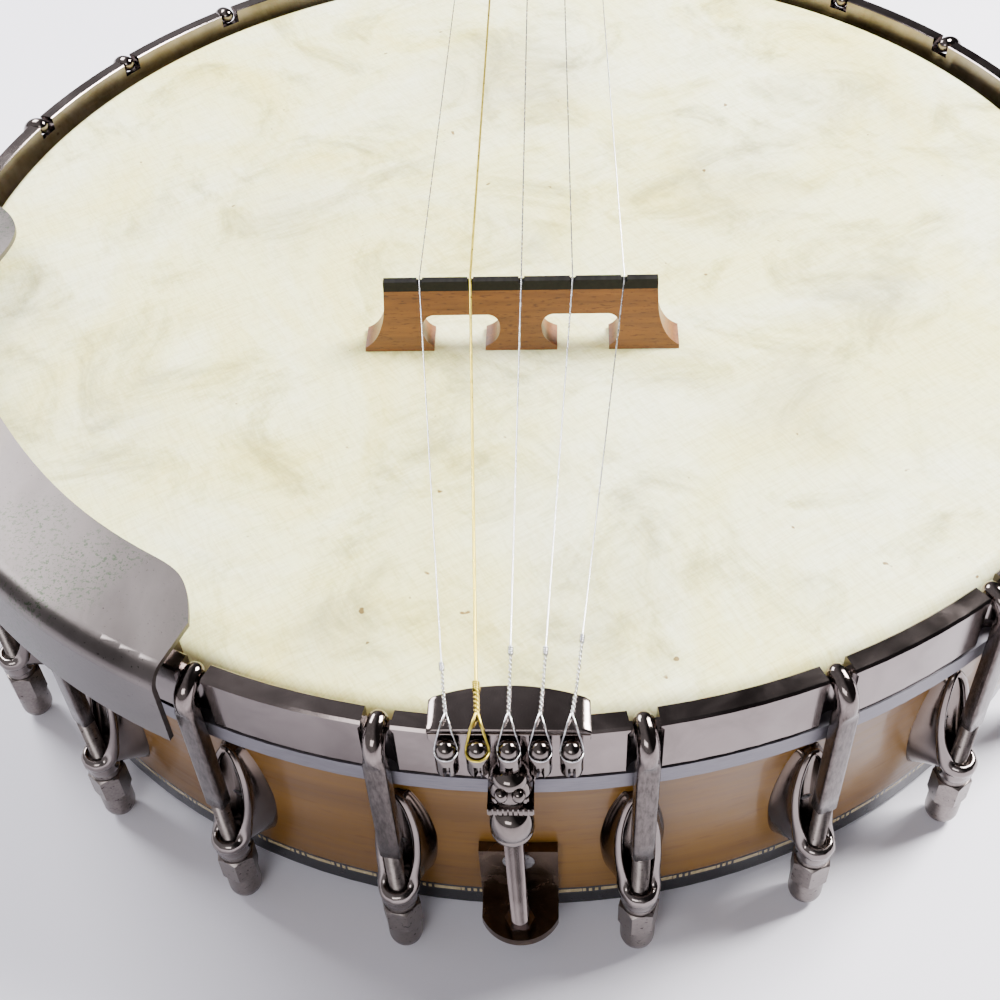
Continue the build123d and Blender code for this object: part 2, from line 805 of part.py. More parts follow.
def make_fingerboard():
    board = Pos(0, 0, -board_thickness) * extrude(
        board_outline(heel_end - 8, scale_length), board_thickness
    )
    for place in fret_places:
        slot = fret_tang_width / 2 + thread_clearance
        board -= block((-40, 40), (place - slot, place + slot),
                       (-fret_tang_depth - 0.1, 1))
    for x, u in marker_places():
        board -= Pos(x, u, 0) * pillar(marker_radius + seat_clearance, -marker_depth, 1)
    return board_frame * (board - fifth_pip_hole()) - pot_clear


def board_middle(u):
    return (treble_edge(u) - bass_edge(u)) / 2


def marker_places():
    """Inlay dots behind the usual frets, with a pair at the twelfth."""
    places = []
    for number in (5, 7, 10, 12, 15, 17):
        if number <= len(fret_places):
            u = scale_length * (2 ** (-number / 12) + 2 ** (-(number - 1) / 12)) / 2
            spread = 8.0 if number == 12 else 0.0
            places.append((board_middle(u) - spread, u))
            if spread:
                places.append((board_middle(u) + spread, u))
    return places


def make_fret_markers():
    dots = []
    for x, u in marker_places():
        dots.append(board_frame * Pos(x, u, 0) * pillar(marker_radius, -marker_depth + 0.02, 0))
    return group(dots)


def make_frets():
    half = fret_crown_width / 2
    crown = [
        ThreePointArc((-half, 0), (0, fret_crown_height), (half, 0)),
        Polyline(
            (half, 0),
            (fret_tang_width / 2, 0),
            (fret_tang_width / 2, -fret_tang_depth),
            (-fret_tang_width / 2, -fret_tang_depth),
            (-fret_tang_width / 2, 0),
            (-half, 0),
        ),
    ]
    frets = []
    for place in fret_places:
        left = -bass_edge(place) + 0.3
        right = treble_edge(place) - 0.3
        bar = extrude(Plane.YZ * make_face(crown), right - left)
        frets.append(board_frame * Pos(left, place, 0) * bar)
    return group(frets)


def neck_section(u, depth):
    """A D-shaped section of the neck under the fingerboard."""
    left = -bass_edge(u)
    right = treble_edge(u)
    top = -board_thickness
    shoulder = top - 2.0
    edges = [
        Line((left, top), (right, top)),
        Line((right, top), (right, shoulder)),
        ThreePointArc((right, shoulder), ((left + right) / 2, top - depth), (left, shoulder)),
        Line((left, shoulder), (left, top)),
    ]
    return Pos(0, u, 0) * (Plane.XZ * make_face(edges))


def heel_section(z, half_width, back_y):
    """A level section of the heel: straight sides and a rounded back."""
    front_y = rim_outer_radius - 6
    side_y = front_y + 12
    control = side_y + (back_y - side_y) / 0.75
    edges = [
        Polyline((-half_width, side_y), (-half_width, front_y), (half_width, front_y),
                 (half_width, side_y)),
        Bezier((half_width, side_y), (half_width * 0.9, control), (-half_width * 0.9, control),
               (-half_width, side_y)),
    ]
    return Pos(0, 0, z) * make_face(edges)


def heel_height_steps():
    """Level, half width and depth behind the rim, from the heel's foot to the shaft."""
    top = place_of(board_frame, 0, heel_end + 30, -board_thickness - neck_depth_at_heel).Z
    rise = top - heel_bottom_z
    return [
        (heel_bottom_z, 14.5, 25.0),
        (heel_bottom_z + 0.35 * rise, 15.6, 27.0),
        (heel_bottom_z + 0.70 * rise, 18.4, 34.0),
        (heel_bottom_z + 0.92 * rise, 20.8, 46.0),
        (heel_bottom_z + 1.10 * rise, 21.8, 66.0),
    ]


def peghead_face():
    """The peghead's outline, from the nut to its rounded crown."""
    length = peghead_length
    right = [
        (nut_half_width, 0), (16.6, 0.11 * length), (24.5, 0.24 * length),
        (29.0, 0.36 * length), (27.2, 0.50 * length), (26.6, 0.60 * length),
        (29.6, 0.74 * length), (26.0, 0.88 * length), (13.0, 0.965 * length), (0, length),
    ]
    left = [(-x, v) for x, v in reversed(right[:-1])]
    edges = [
        Spline(*(right + left), tangents=[(0, 1), (0, -1)]),
        Line(left[-1], right[0]),
    ]
    return make_face(edges)


truss_pocket = ((-5.0, 5.0), (1.0, 30.0))


def make_neck():
    start = heel_end - 14
    sections = [
        neck_section(start, neck_depth_at_heel),
        neck_section(fifth_step_u, neck_depth_at_nut + 1.5),
        neck_section(fifth_step_u + fifth_step_run, neck_depth_at_nut + 1.0),
        neck_section(scale_length + string_nut_length, neck_depth_at_nut),
    ]
    neck = board_frame * loft(sections, ruled=True)
    steps = heel_height_steps()
    neck += loft([heel_section(z, half, rim_outer_radius + back) for z, half, back in steps])
    head_wood = Pos(0, 0, -peghead_thickness) * extrude(peghead_face(), peghead_thickness)
    neck += peghead_frame * head_wood
    neck -= pillar(rim_outer_radius + seat_clearance, 0, flesh_hoop_bottom_z)
    neck -= pillar(board_end_radius, flesh_hoop_bottom_z - 0.5, hoop_top_z + 20)
    top = -board_thickness
    half = truss_rod_width / 2 + 0.05
    neck -= board_frame * block((-half, half), (heel_end + 18, scale_length + 8),
                                (top - truss_rod_depth - 0.1, top + 4))
    neck -= peghead_frame * block(*truss_pocket, (-truss_rod_depth - 2, 4))
    for height in (lower_bolt_z, upper_bolt_z):
        neck -= Pos(0, rim_outer_radius - 1, height) * along_y(
            pillar(lag_bolt_radius + thread_clearance, 0, lag_bolt_embed + 1.5)
        )
    for frame in peg_frames():
        neck -= frame * pillar(peg_bushing_radius + seat_clearance, -30, 4)
    neck -= fifth_peg_frame * pillar(peg_bushing_radius + seat_clearance, -30,
                                     fifth_peg_bushing_depth + 0.5)
    neck -= board_frame * fifth_pip_hole()
    return neck


def fifth_pip_place():
    return (-bass_edge(fifth_step_u) + fifth_pip_inset, fifth_fret + fifth_pip_beyond_fret)


def fifth_pip_hole():
    x, u = fifth_pip_place()
    return Pos(x, u, 0) * pillar(fifth_pip_tenon_radius + seat_clearance, -board_thickness - 4, 5)


def make_truss_rod():
    top = -board_thickness - 0.05
    half = truss_rod_width / 2
    bar = block((-half, half), (heel_end + 19, scale_length + 4), (top - truss_rod_depth, top))
    screw_end = Pos(0, scale_length + 4, top - truss_rod_depth / 2) * along_y(pillar(2.0, 0, 12))
    hex_nut = Pos(0, scale_length + 9, top - truss_rod_depth / 2) * along_y(hexagon(6, 0, 8))
    return board_frame * (bar + screw_end + hex_nut)


def make_truss_cover():
    """A bell-shaped plate over the truss rod's pocket."""
    z = overlay_thickness
    points = [(-7.5, 1.5), (7.5, 1.5), (9.5, 12), (6.0, 27), (4.0, 36), (-4.0, 36), (-6.0, 27),
              (-9.5, 12)]
    plate = Pos(0, 0, z) * extrude(make_face(Polyline(*points, close=True)), 1.5)
    for v in cover_screw_places:
        plate -= Pos(0, v, 0) * pillar(1.1, 0, 10)
    return peghead_frame * plate


cover_screw_places = (4.6, 33.0)


def make_truss_cover_screws():
    screws = []
    for v in cover_screw_places:
        shank = pillar(1.0, overlay_thickness - 1.0, overlay_thickness + 1.5)
        head = pillar(1.9, overlay_thickness + 1.5, overlay_thickness + 2.3)
        screws.append(peghead_frame * Pos(0, v, 0) * (shank + head))
    return group(screws)


def make_peghead_overlay():
    overlay = extrude(peghead_face(), overlay_thickness)
    overlay -= block(truss_pocket[0], (-1, truss_pocket[1][1]), (-1, 4))
    for v in cover_screw_places:
        overlay -= Pos(0, v, 0) * pillar(1.05, overlay_thickness - 1.2, 4)
    overlay = peghead_frame * overlay
    for frame in peg_frames():
        overlay -= frame * pillar(peg_bushing_radius + seat_clearance, -4, 4)
    return overlay


def make_heel_cap():
    z, half, back = heel_height_steps()[0]
    cap = extrude(heel_section(z, half, rim_outer_radius + back), -heel_cap_thickness)
    return cap - pillar(rim_outer_radius + seat_clearance, 0, hoop_top_z)


nut_string_places = [(1.5 - index) * string_nut_spacing for index in range(4)]


def make_string_nut():
    half = nut_half_width - 0.2
    top = string_nut_above_board
    nut = block((-half, half), (scale_length, scale_length + string_nut_length),
                (-board_thickness, top))
    for place, radius in zip(nut_string_places, string_radii):
        width = radius + 0.15
        nut -= block((place - width, place + width),
                     (scale_length - 1, scale_length + string_nut_length + 1),
                     (top - 2 * radius - 0.4, top + 1))
    return board_frame * nut


def make_fifth_pip():
    x, u = fifth_pip_place()
    pip = Pos(x, u, 0) * pillar(fifth_pip_radius, 0, fifth_pip_height)
    pip += Pos(x, u, 0) * pillar(fifth_pip_tenon_radius, -board_thickness - 3, 0)
    groove = string_radii[4] + 0.25
    floor = fifth_pip_height - 0.7
    pip -= block((x - groove, x + groove), (u - 5, u + 5), (floor, 9))
    behind = block((-groove, groove), (0, 5), (0, 5))
    pip -= Pos(x, u, floor) * Rot(-fifth_pip_back_slope, 0, 0) * behind
    return board_frame * pip


# ---------------------------------------------------------------- rod and bolts in the pot
flat_face = sqrt(rim_inner_radius ** 2 - rod_washer_radius ** 2) - seat_clearance
nut_face = flat_face - rod_washer_thickness


def make_lag_bolts():
    end = rim_outer_radius + lag_bolt_embed
    lower = along_y(pillar(lag_bolt_radius, nut_face - 12, end))
    upper = along_y(pillar(lag_bolt_radius, nut_face - rod_nut_height - 3, end))
    return group([Pos(0, 0, lower_bolt_z) * lower, Pos(0, 0, upper_bolt_z) * upper])


def make_coordinator_rod():
    sleeve_end = nut_face - 0.05
    rod = pillar(rod_radius, -rim_outer_radius - bracket_thickness, sleeve_end - rod_sleeve_length + 2)
    rod += hexagon(rod_sleeve_flats, sleeve_end - rod_sleeve_length, sleeve_end)
    rod -= pillar(lag_bolt_radius + thread_clearance, nut_face - 13, sleeve_end + 1)
    return Pos(0, 0, lower_bolt_z) * along_y(rod)


def make_rod_washers():
    neck_side = ring(rod_washer_radius, lag_bolt_radius + hole_clearance, nut_face, flat_face)
    tail_side = ring(rod_washer_radius, rod_radius + hole_clearance, -flat_face, -nut_face)
    return group([
        Pos(0, 0, lower_bolt_z) * along_y(neck_side),
        Pos(0, 0, upper_bolt_z) * along_y(neck_side),
        Pos(0, 0, lower_bolt_z) * along_y(tail_side),
    ])


def make_rod_nuts():
    upper = hexagon(rod_nut_flats, nut_face - rod_nut_height, nut_face - 0.02)
    upper -= pillar(lag_bolt_radius + thread_clearance, 0, rim_outer_radius)
    tail = hexagon(rod_nut_flats, -nut_face + 0.02, -nut_face + rod_nut_height)
    tail -= pillar(rod_radius + thread_clearance, -rim_outer_radius, 0)
    return group([
        Pos(0, 0, upper_bolt_z) * along_y(upper),
        Pos(0, 0, lower_bolt_z) * along_y(tail),
    ])


# ---------------------------------------------------------------- pegs
# Pegs 1 to 4 stand in the peghead: first and fourth strings nearest the nut.
def peg_frames():
    near, far = peg_rows
    near_x, far_x = peg_row_half_spacing
    places = [(near_x, near), (far_x, far), (-far_x, far), (-near_x, near)]
    return [peghead_frame * Pos(x, v, overlay_thickness) for x, v in places]


fifth_peg_u = fifth_fret + fifth_peg_beyond_fret
fifth_peg_frame = (
    board_frame
    * Pos(-bass_edge(fifth_peg_u), fifth_peg_u, -fifth_peg_below_board)
    * Rot(0, 90, 0)
)


def button_start(is_fifth):
    """Where the button begins, below the peg's reference face."""
    if is_fifth:
        return -peg_flange_thickness - 9.0
    return -overlay_thickness - peghead_thickness - peg_collar_length - 0.4


def make_peg_shaft(frame, is_fifth):
    low = button_start(is_fifth) - peg_stem_length - 4
    high = fifth_peg_bushing_depth - 0.5 if is_fifth else peg_post_height
    hole_z = -peg_flange_thickness - 4.0 if is_fifth else peg_string_height + 2.5
    shaft = pillar(peg_shaft_radius, button_start(is_fifth), high)
    shaft += pillar(peg_shaft_radius - 1.2, low, button_start(is_fifth))
    if is_fifth:
        shaft += pillar(peg_shaft_radius + 1.3, button_start(is_fifth), button_start(is_fifth) + 1.6)
    else:
        shaft = fillet(shaft.edges().group_by(Axis.Z)[-1], 1.0)
    shaft -= Pos(0, -10, hole_z) * along_y(pillar(0.6, 0, 20))
    return frame * shaft


def make_peg_button(frame, is_fifth):
    start = button_start(is_fifth) - 0.02
    middle = start - peg_stem_length - peg_button_half_height + 1.5
    stem = pillar(peg_stem_radius, start - peg_stem_length, start)
    wing = extrude(
        Plane.XZ * Ellipse(peg_button_half_width, peg_button_half_height),
        peg_button_thickness / 2,
        both=True,
    )
    wing = fillet(wing.edges(), 2.4)
    button = stem + Pos(0, 0, middle) * wing
    button -= pillar(peg_shaft_radius - 1.2 + thread_clearance, start - peg_stem_length - 4.1, 0)
    tail = middle - peg_button_half_height
    button -= pillar(peg_screw_radius + thread_clearance, tail - 1, 0)
    button -= pillar(peg_screw_head_radius + thread_clearance, tail - 1, tail + 0.22)
    return frame * button


def make_peg_screw(frame, is_fifth):
    start = button_start(is_fifth) - 0.02
    tail = start - peg_stem_length - 2 * peg_button_half_height + 1.5
    shank = pillar(peg_screw_radius, tail, tail + 2 * peg_button_half_height - 5.6)
    cap = pillar(peg_screw_head_radius, tail - peg_screw_head_height, tail + 0.2)
    cap -= block((-5, 5), (-0.3, 0.3), (tail - 2, tail - peg_screw_head_height + 0.5))
    return frame * (shank + cap)


def peg_bore(shape):
    return shape - pillar(peg_shaft_radius + peg_running_clearance, -60, 60)


def make_front_bushings():
    tall = pillar(peg_bushing_radius, -overlay_thickness - peghead_thickness, 0)
    flange = pillar(peg_flange_radius, 0, peg_flange_thickness)
    flange += hexagon(2 * peg_bushing_radius - 0.4, peg_flange_thickness, peg_flange_thickness + 1.6)
    return group([frame * peg_bore(tall + flange) for frame in peg_frames()])


def make_rear_collars():
    back = -overlay_thickness - peghead_thickness
    cup = pillar(peg_collar_radius, back - peg_collar_length, back - seat_clearance)
    return group([frame * peg_bore(cup) for frame in peg_frames()])


def make_fifth_bushing():
    sleeve = pillar(peg_bushing_radius, 0, fifth_peg_bushing_depth)
    flange = pillar(peg_flange_radius - 0.6, -peg_flange_thickness, 0)
    return fifth_peg_frame * peg_bore(sleeve + flange)


# ---------------------------------------------------------------- strings
def make_string(index):
    """One string from the back of the tailpiece over the bridge and nut to its peg."""
    radius = string_radii[index]
    plate_z = tail_plate_top_z + 0.05 + radius
    tail_y = -apron_back + 0.6
    front_y = -(hoop_outer_radius - tail_plate_front) - 0.8
    bridge_x = string_places[index]
    post_x = post_places[index]
    crossing = post_x + (bridge_x - post_x) * (front_y - tail_y) / (bridge_y - tail_y)
    contact_z = bridge_top_z - string_slot_depth + string_lift + radius
    points = [
        Vector(post_x, tail_y, plate_z),
        Vector(crossing, front_y, plate_z),
        Vector(bridge_x, bridge_y, contact_z),
    ]
    standoff = peg_shaft_radius + radius + 0.3
    if index < 4:
        nut_z = string_nut_above_board - 0.2 - radius
        nut_x = nut_string_places[index]
        points.append(place_of(board_frame, nut_x, scale_length, nut_z))
        points.append(place_of(board_frame, nut_x, scale_length + string_nut_length + 0.6,
                               nut_z - 0.1))
        inward = -standoff if index < 2 else standoff
        points.append(place_of(peg_frames()[index], inward, 0, peg_string_height))
    else:
        x, u = fifth_pip_place()
        points.append(place_of(board_frame, x, u, fifth_pip_height - 0.45))
        height = -peg_flange_thickness - 4.0
        points.append(place_of(fifth_peg_frame, -standoff, 0, height))
    return round_wire(points, radius, string_bend_radius)


# ---------------------------------------------------------------- write every sub-part
def main():
    save("rim", make_rim())
    save("rim_binding", make_rim_binding())
    save("rim_purfling", make_rim_purfling())
    save("tone_ring", make_tone_ring())
    save("head", make_head())
    save("flesh_hoop", make_flesh_hoop())
    save("tension_hoop", make_tension_hoop())

    bracket_pieces = {
        "bracket_hooks": make_hook(),
        "bracket_nuts": make_nut(),
        "bracket_shoes": make_shoe(),
        "shoe_bolts": make_shoe_bolt(),
        "shoe_washers": make_shoe_washer(),
    }
    for name, piece in bracket_pieces.items():
        save(name, group([around_pot(piece, angle) for angle in bracket_angles]))

    save("armrest", make_armrest())
    clamp_angles = (armrest_start_angle + 2.6, armrest_end_angle - 3.0)
    save("armrest_clamps", group([make_armrest_clamp(angle) for angle in clamp_angles]))

    save("tailpiece", make_tailpiece())
    save("tailpiece_hanger_bolt", make_hanger_bolt())
    save("tailpiece_hanger_nuts", make_hanger_nuts())
    save("tailpiece_bracket", make_tailpiece_bracket())

    save("bridge_body", make_bridge_body())
    save("bridge_cap", make_bridge_cap())
    for index in range(5):
        save(f"string_{index + 1}", make_string(index))

    save("neck", make_neck())
    save("fingerboard", make_fingerboard())
    save("frets", make_frets())
    save("fret_markers", make_fret_markers())
    save("string_nut", make_string_nut())
    save("fifth_string_pip", make_fifth_pip())
    save("peghead_overlay", make_peghead_overlay())
    save("heel_cap", make_heel_cap())
    save("truss_rod", make_truss_rod())
    save("truss_rod_cover", make_truss_cover())
    save("truss_cover_screws", make_truss_cover_screws())

    save("neck_lag_bolts", make_lag_bolts())
    save("coordinator_rod", make_coordinator_rod())
    save("pot_rod_washers", make_rod_washers())
    save("pot_rod_nuts", make_rod_nuts())

    save("peg_front_bushings", make_front_bushings())
    save("peg_rear_collars", make_rear_collars())
    save("fifth_peg_bushing", make_fifth_bushing())
    frames = peg_frames() + [fifth_peg_frame]
    for number, frame in enumerate(frames, start=1):
        is_fifth = number == 5
        save(f"peg_{number}_shaft", make_peg_shaft(frame, is_fifth))
        save(f"peg_{number}_button", make_peg_button(frame, is_fifth))
        save(f"peg_{number}_screw", make_peg_screw(frame, is_fifth))


main()
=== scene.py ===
import json
import math

import bmesh
import bpy
from mathutils import Matrix, Vector


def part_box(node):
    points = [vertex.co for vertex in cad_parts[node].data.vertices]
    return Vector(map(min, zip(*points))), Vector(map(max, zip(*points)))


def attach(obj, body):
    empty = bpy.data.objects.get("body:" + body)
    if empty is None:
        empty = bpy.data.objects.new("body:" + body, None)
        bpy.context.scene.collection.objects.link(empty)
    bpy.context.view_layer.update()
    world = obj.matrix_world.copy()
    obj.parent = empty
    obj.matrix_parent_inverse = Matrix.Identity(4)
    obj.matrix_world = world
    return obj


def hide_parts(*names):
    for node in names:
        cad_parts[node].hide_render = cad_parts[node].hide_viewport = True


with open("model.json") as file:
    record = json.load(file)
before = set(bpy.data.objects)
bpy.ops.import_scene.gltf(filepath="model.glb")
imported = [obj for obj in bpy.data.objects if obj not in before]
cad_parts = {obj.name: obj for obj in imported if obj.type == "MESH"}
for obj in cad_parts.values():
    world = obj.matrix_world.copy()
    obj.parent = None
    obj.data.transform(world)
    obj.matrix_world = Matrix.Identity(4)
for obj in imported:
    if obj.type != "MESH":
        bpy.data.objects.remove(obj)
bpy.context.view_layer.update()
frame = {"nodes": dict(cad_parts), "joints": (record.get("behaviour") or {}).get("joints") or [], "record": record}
nodes = frame["nodes"]
MM = 0.001


# ---------------------------------------------------------------- the frame's own sizes
def reach(node):
    """Nearest and farthest distance of a node's points from the pot's axis."""
    distances = [math.hypot(v.co.x, v.co.y) for v in nodes[node].data.vertices]
    return min(distances), max(distances)


def low(node, axis):
    """The lowest coordinate of a node's box on an axis, in metres."""
    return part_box(node)[0]["xyz".index(axis)]


def high(node, axis):
    """The highest coordinate of a node's box on an axis, in metres."""
    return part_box(node)[1]["xyz".index(axis)]


rim_radius = reach("rim")[1]
hoop_inner, hoop_outer = reach("tension_hoop")
hoop_bottom = low("tension_hoop", "z")
head_top = high("head", "z")
hook_radius = sum(reach("bracket_nuts")) / 2
nut_top = high("bracket_nuts", "z")
hook_top = high("bracket_hooks", "z")
shoe_top = high("bracket_shoes", "z")
shoe_bottom = low("bracket_shoes", "z")

# Brackets stand evenly on each side of the tailpiece: angles from it, in degrees.
FIRST_BRACKET = 9.4
BRACKET_STEP = 14.54
BRACKETS_PER_SIDE = 12
bracket_angles = [side * (FIRST_BRACKET + place * BRACKET_STEP)
                  for side in (-1, 1) for place in range(BRACKETS_PER_SIDE)]


# ---------------------------------------------------------------- camera, floor and light
def place_camera():
    """A camera low over the tail of the pot, looking down along the strings."""
    data = bpy.data.cameras.new("camera")
    camera = bpy.data.objects.new("camera", data)
    bpy.context.scene.collection.objects.link(camera)
    # The camera's own axes in the frame: right, up and back.
    right = Vector((0.99826, 0.03634, -0.04646))
    up = Vector((0.00588, 0.72247, 0.69143))
    back = Vector((0.0587, -0.6905, 0.7210))
    turn = Matrix((right, up, back)).transposed().to_4x4()
    camera.matrix_world = Matrix.Translation((0.01054, -0.28127, 0.28382)) @ turn
    data.sensor_width = 36.0
    data.lens = 51.4
    data.shift_x = 0.0148
    data.shift_y = -0.0293
    data.clip_start = 0.01
    bpy.context.scene.camera = camera


def add_light(name, place, aim, size, power, colour):
    """A rectangular area light at a place, aimed at a point."""
    data = bpy.data.lights.new(name, "AREA")
    data.shape = "RECTANGLE"
    data.size, data.size_y = size
    data.energy = power
    data.color = colour
    light = bpy.data.objects.new(name, data)
    bpy.context.scene.collection.objects.link(light)
    light.location = place
    light.rotation_euler = (Vector(aim) - Vector(place)).to_track_quat("-Z", "Y").to_euler()


def light_studio():
    """Soft daylight from the upper right and behind, with a paler fill from the left."""
    world = bpy.data.worlds.new("studio")
    bpy.context.scene.world = world
    world.use_nodes = True
    tree = world.node_tree
    background = tree.nodes["Background"]
    background.inputs["Strength"].default_value = 0.66
    coordinates = tree.nodes.new("ShaderNodeTexCoord")
    across = tree.nodes.new("ShaderNodeVectorMath")
    across.operation = "DOT_PRODUCT"
    across.inputs[1].default_value = (0.90, 0.10, 0.42)
    tree.links.new(coordinates.outputs["Generated"], across.inputs[0])
    ramp = tree.nodes.new("ShaderNodeValToRGB")
    ramp.color_ramp.elements[0].position = 0.16
    ramp.color_ramp.elements[0].color = (0.86, 0.84, 0.88, 1)
    ramp.color_ramp.elements[1].position = 0.56
    ramp.color_ramp.elements[1].color = (0.07, 0.065, 0.07, 1)
    tree.links.new(across.outputs["Value"], ramp.inputs["Fac"])
    tree.links.new(ramp.outputs["Color"], background.inputs["Color"])
    add_light("key", (0.75, 0.35, 0.95), (0, 0, 0.03), (0.5, 0.5), 74, (1.0, 0.985, 0.975))
    add_light("window", (-0.75, 0.55, 0.80), (0, 0, 0.05), (0.6, 0.4), 23, (0.97, 0.97, 1.0))
    add_light("front_fill", (-0.25, -0.95, 0.55), (0, -0.1, 0.03), (0.5, 0.3), 4.0,
              (0.97, 0.97, 1.0))


# ---------------------------------------------------------------- material helpers
class Shader:
    """A node material with short names for the few node kinds used here."""

    def __init__(self, name):
        self.material = bpy.data.materials.new(name)
        self.material.use_nodes = True
        self.tree = self.material.node_tree
        self.surface = self.tree.nodes["Principled BSDF"]
        self.coordinates = self.tree.nodes.new("ShaderNodeTexCoord").outputs["Object"]

    def node(self, kind, **settings):
        made = self.tree.nodes.new(kind)
        for key, value in settings.items():
            setattr(made, key, value)
        return made

    def link(self, source, target):
        self.tree.links.new(source, target)

    def set(self, **values):
        for key, value in values.items():
            self.surface.inputs[key.replace("_", " ")].default_value = value

    def stretched(self, scale, source=None, turn=0.0):
        """Object coordinates, turned about Z and stretched by a factor on each axis."""
        mapping = self.node("ShaderNodeMapping")
        mapping.vector_type = "TEXTURE" if turn else "POINT"
        if turn:
            mapping.inputs["Rotation"].default_value = (0, 0, math.radians(turn))
            scale = tuple(1 / factor for factor in scale)
        mapping.inputs["Scale"].default_value = scale
        self.link(source or self.coordinates, mapping.inputs["Vector"])
        return mapping.outputs["Vector"]

    def noise(self, scale, detail=4.0, source=None, roughness=0.55, distortion=0.0):
        made = self.node("ShaderNodeTexNoise")
        made.inputs["Scale"].default_value = scale
        made.inputs["Detail"].default_value = detail
        made.inputs["Roughness"].default_value = roughness
        made.inputs["Distortion"].default_value = distortion
        self.link(source or self.coordinates, made.inputs["Vector"])
        return made.outputs["Fac"]

    def ramp(self, value, stops):
        """A colour ramp: stops are (position, colour or grey)."""
        made = self.node("ShaderNodeValToRGB")
        ramp = made.color_ramp
        while len(ramp.elements) < len(stops):
            ramp.elements.new(0.5)
        for element, (position, colour) in zip(ramp.elements, stops):
            element.position = position
            if isinstance(colour, (int, float)):
                colour = (colour, colour, colour)
            element.color = (*colour, 1.0)
        self.link(value, made.inputs["Fac"])
        return made.outputs["Color"]

    def mix(self, amount, first, second, blend="MIX"):
        made = self.node("ShaderNodeMix", data_type="RGBA", blend_type=blend)
        for socket, value in (("Factor", amount), ("A", first), ("B", second)):
            target = [s for s in made.inputs if s.name == socket
                      and s.type == ("VALUE" if socket == "Factor" else "RGBA")][0]
            if isinstance(value, (int, float)):
                target.default_value = value
            elif isinstance(value, tuple):
                target.default_value = (*value, 1.0)
            else:
                self.link(value, target)
        return [s for s in made.outputs if s.type == "RGBA"][0]

    def math(self, operation, first, second):
        made = self.node("ShaderNodeMath", operation=operation)
        for index, value in enumerate((first, second)):
            if isinstance(value, (int, float)):
                made.inputs[index].default_value = value
            else:
                self.link(value, made.inputs[index])
        return made.outputs["Value"]

    def bump(self, height, distance, strength):
        made = self.node("ShaderNodeBump")
        made.inputs["Distance"].default_value = distance
        made.inputs["Strength"].default_value = strength
        self.link(height, made.inputs["Height"])
        self.link(made.outputs["Normal"], self.surface.inputs["Normal"])

    def colour(self, source):
        self.link(source, self.surface.inputs["Base Color"])

    def rough(self, source):
        self.link(source, self.surface.inputs["Roughness"])

    def round_the_pot(self):
        """Coordinates (along the rim, out from its axis, up it), and the first and last."""
        parts = self.node("ShaderNodeSeparateXYZ")
        self.link(self.coordinates, parts.inputs["Vector"])
        angle = self.math("ARCTAN2", parts.outputs["X"], parts.outputs["Y"])
        along = self.math("MULTIPLY", angle, rim_radius)
        squares = [self.math("MULTIPLY", parts.outputs[axis], parts.outputs[axis])
                   for axis in "XY"]
        out = self.math("POWER", self.math("ADD", *squares), 0.5)
        joined = self.node("ShaderNodeCombineXYZ")
        self.link(along, joined.inputs["X"])
        self.link(out, joined.inputs["Y"])
        self.link(parts.outputs["Z"], joined.inputs["Z"])
        return joined.outputs["Vector"], along, parts.outputs["Z"]


# ---------------------------------------------------------------- materials
def make_plain(name, scale, detail, colours, roughness, bump,
               stretch=None, distortion=0.0, **settings):
    """A look from one cloud: its colours, its roughness and its bump (distance, strength)."""
    shader = Shader(name)
    source = shader.stretched(stretch) if stretch else None
    cloud = shader.noise(scale, detail, source=source, distortion=distortion)
    shader.colour(shader.ramp(cloud, colours))
    shader.rough(shader.ramp(cloud, roughness))
    shader.bump(cloud, *bump)
    shader.set(**settings)
    return shader.material


def make_metal(name, colour, roughness):
    """A plain bright metal of one colour, faintly mottled."""
    darker = tuple(c * 0.8 for c in colour)
    return make_plain(name, 700, 3, [(0.3, darker), (0.7, colour)],
                      [(0.3, roughness * 0.8), (0.7, roughness * 1.25)], (0.00001, 0.5),
                      Metallic=1.0)


def make_nickel():
    """Polished nickel plate, a little warm, with smears and fine scratches."""
    shader = Shader("nickel")
    smear = shader.noise(90, 3, distortion=0.6)
    shader.colour(shader.ramp(smear, [(0.3, (0.14, 0.115, 0.108)), (0.7, (0.205, 0.172, 0.163))]))
    shader.rough(shader.ramp(smear, [(0.35, 0.10), (0.75, 0.21)]))
    fine = shader.noise(1, 2, source=shader.stretched((2600, 2600, 500)))
    shader.bump(fine, 0.000012, 0.6)
    shader.set(Metallic=1.0)
    return shader.material


def make_hook_nickel():
    """Drawn rod: polished round the bend, brushed and speckled down the shank."""
    shader = Shader("hook_nickel")
    height = shader.round_the_pot()[2]
    shank = shader.math("SUBTRACT", hook_top - 5.0 * MM, height)
    shank = shader.math("MULTIPLY", shank, 1 / (2.5 * MM))
    speck = shader.noise(1, 3, source=shader.stretched((1500, 1500, 420)), roughness=0.7)
    plain = shader.ramp(speck, [(0.3, (0.13, 0.107, 0.10)), (0.7, (0.19, 0.16, 0.15))])
    dull = shader.ramp(speck, [(0.32, (0.035, 0.027, 0.024)), (0.62, (0.100, 0.082, 0.076))])
    amount = shader.ramp(shank, [(0.0, 0.0), (1.0, 1.0)])
    shader.colour(shader.mix(amount, plain, dull))
    shader.rough(shader.mix(amount, (0.09, 0.09, 0.09), (0.27, 0.27, 0.27)))
    shader.bump(speck, 0.00003, 0.5)
    shader.set(Metallic=1.0)
    return shader.material


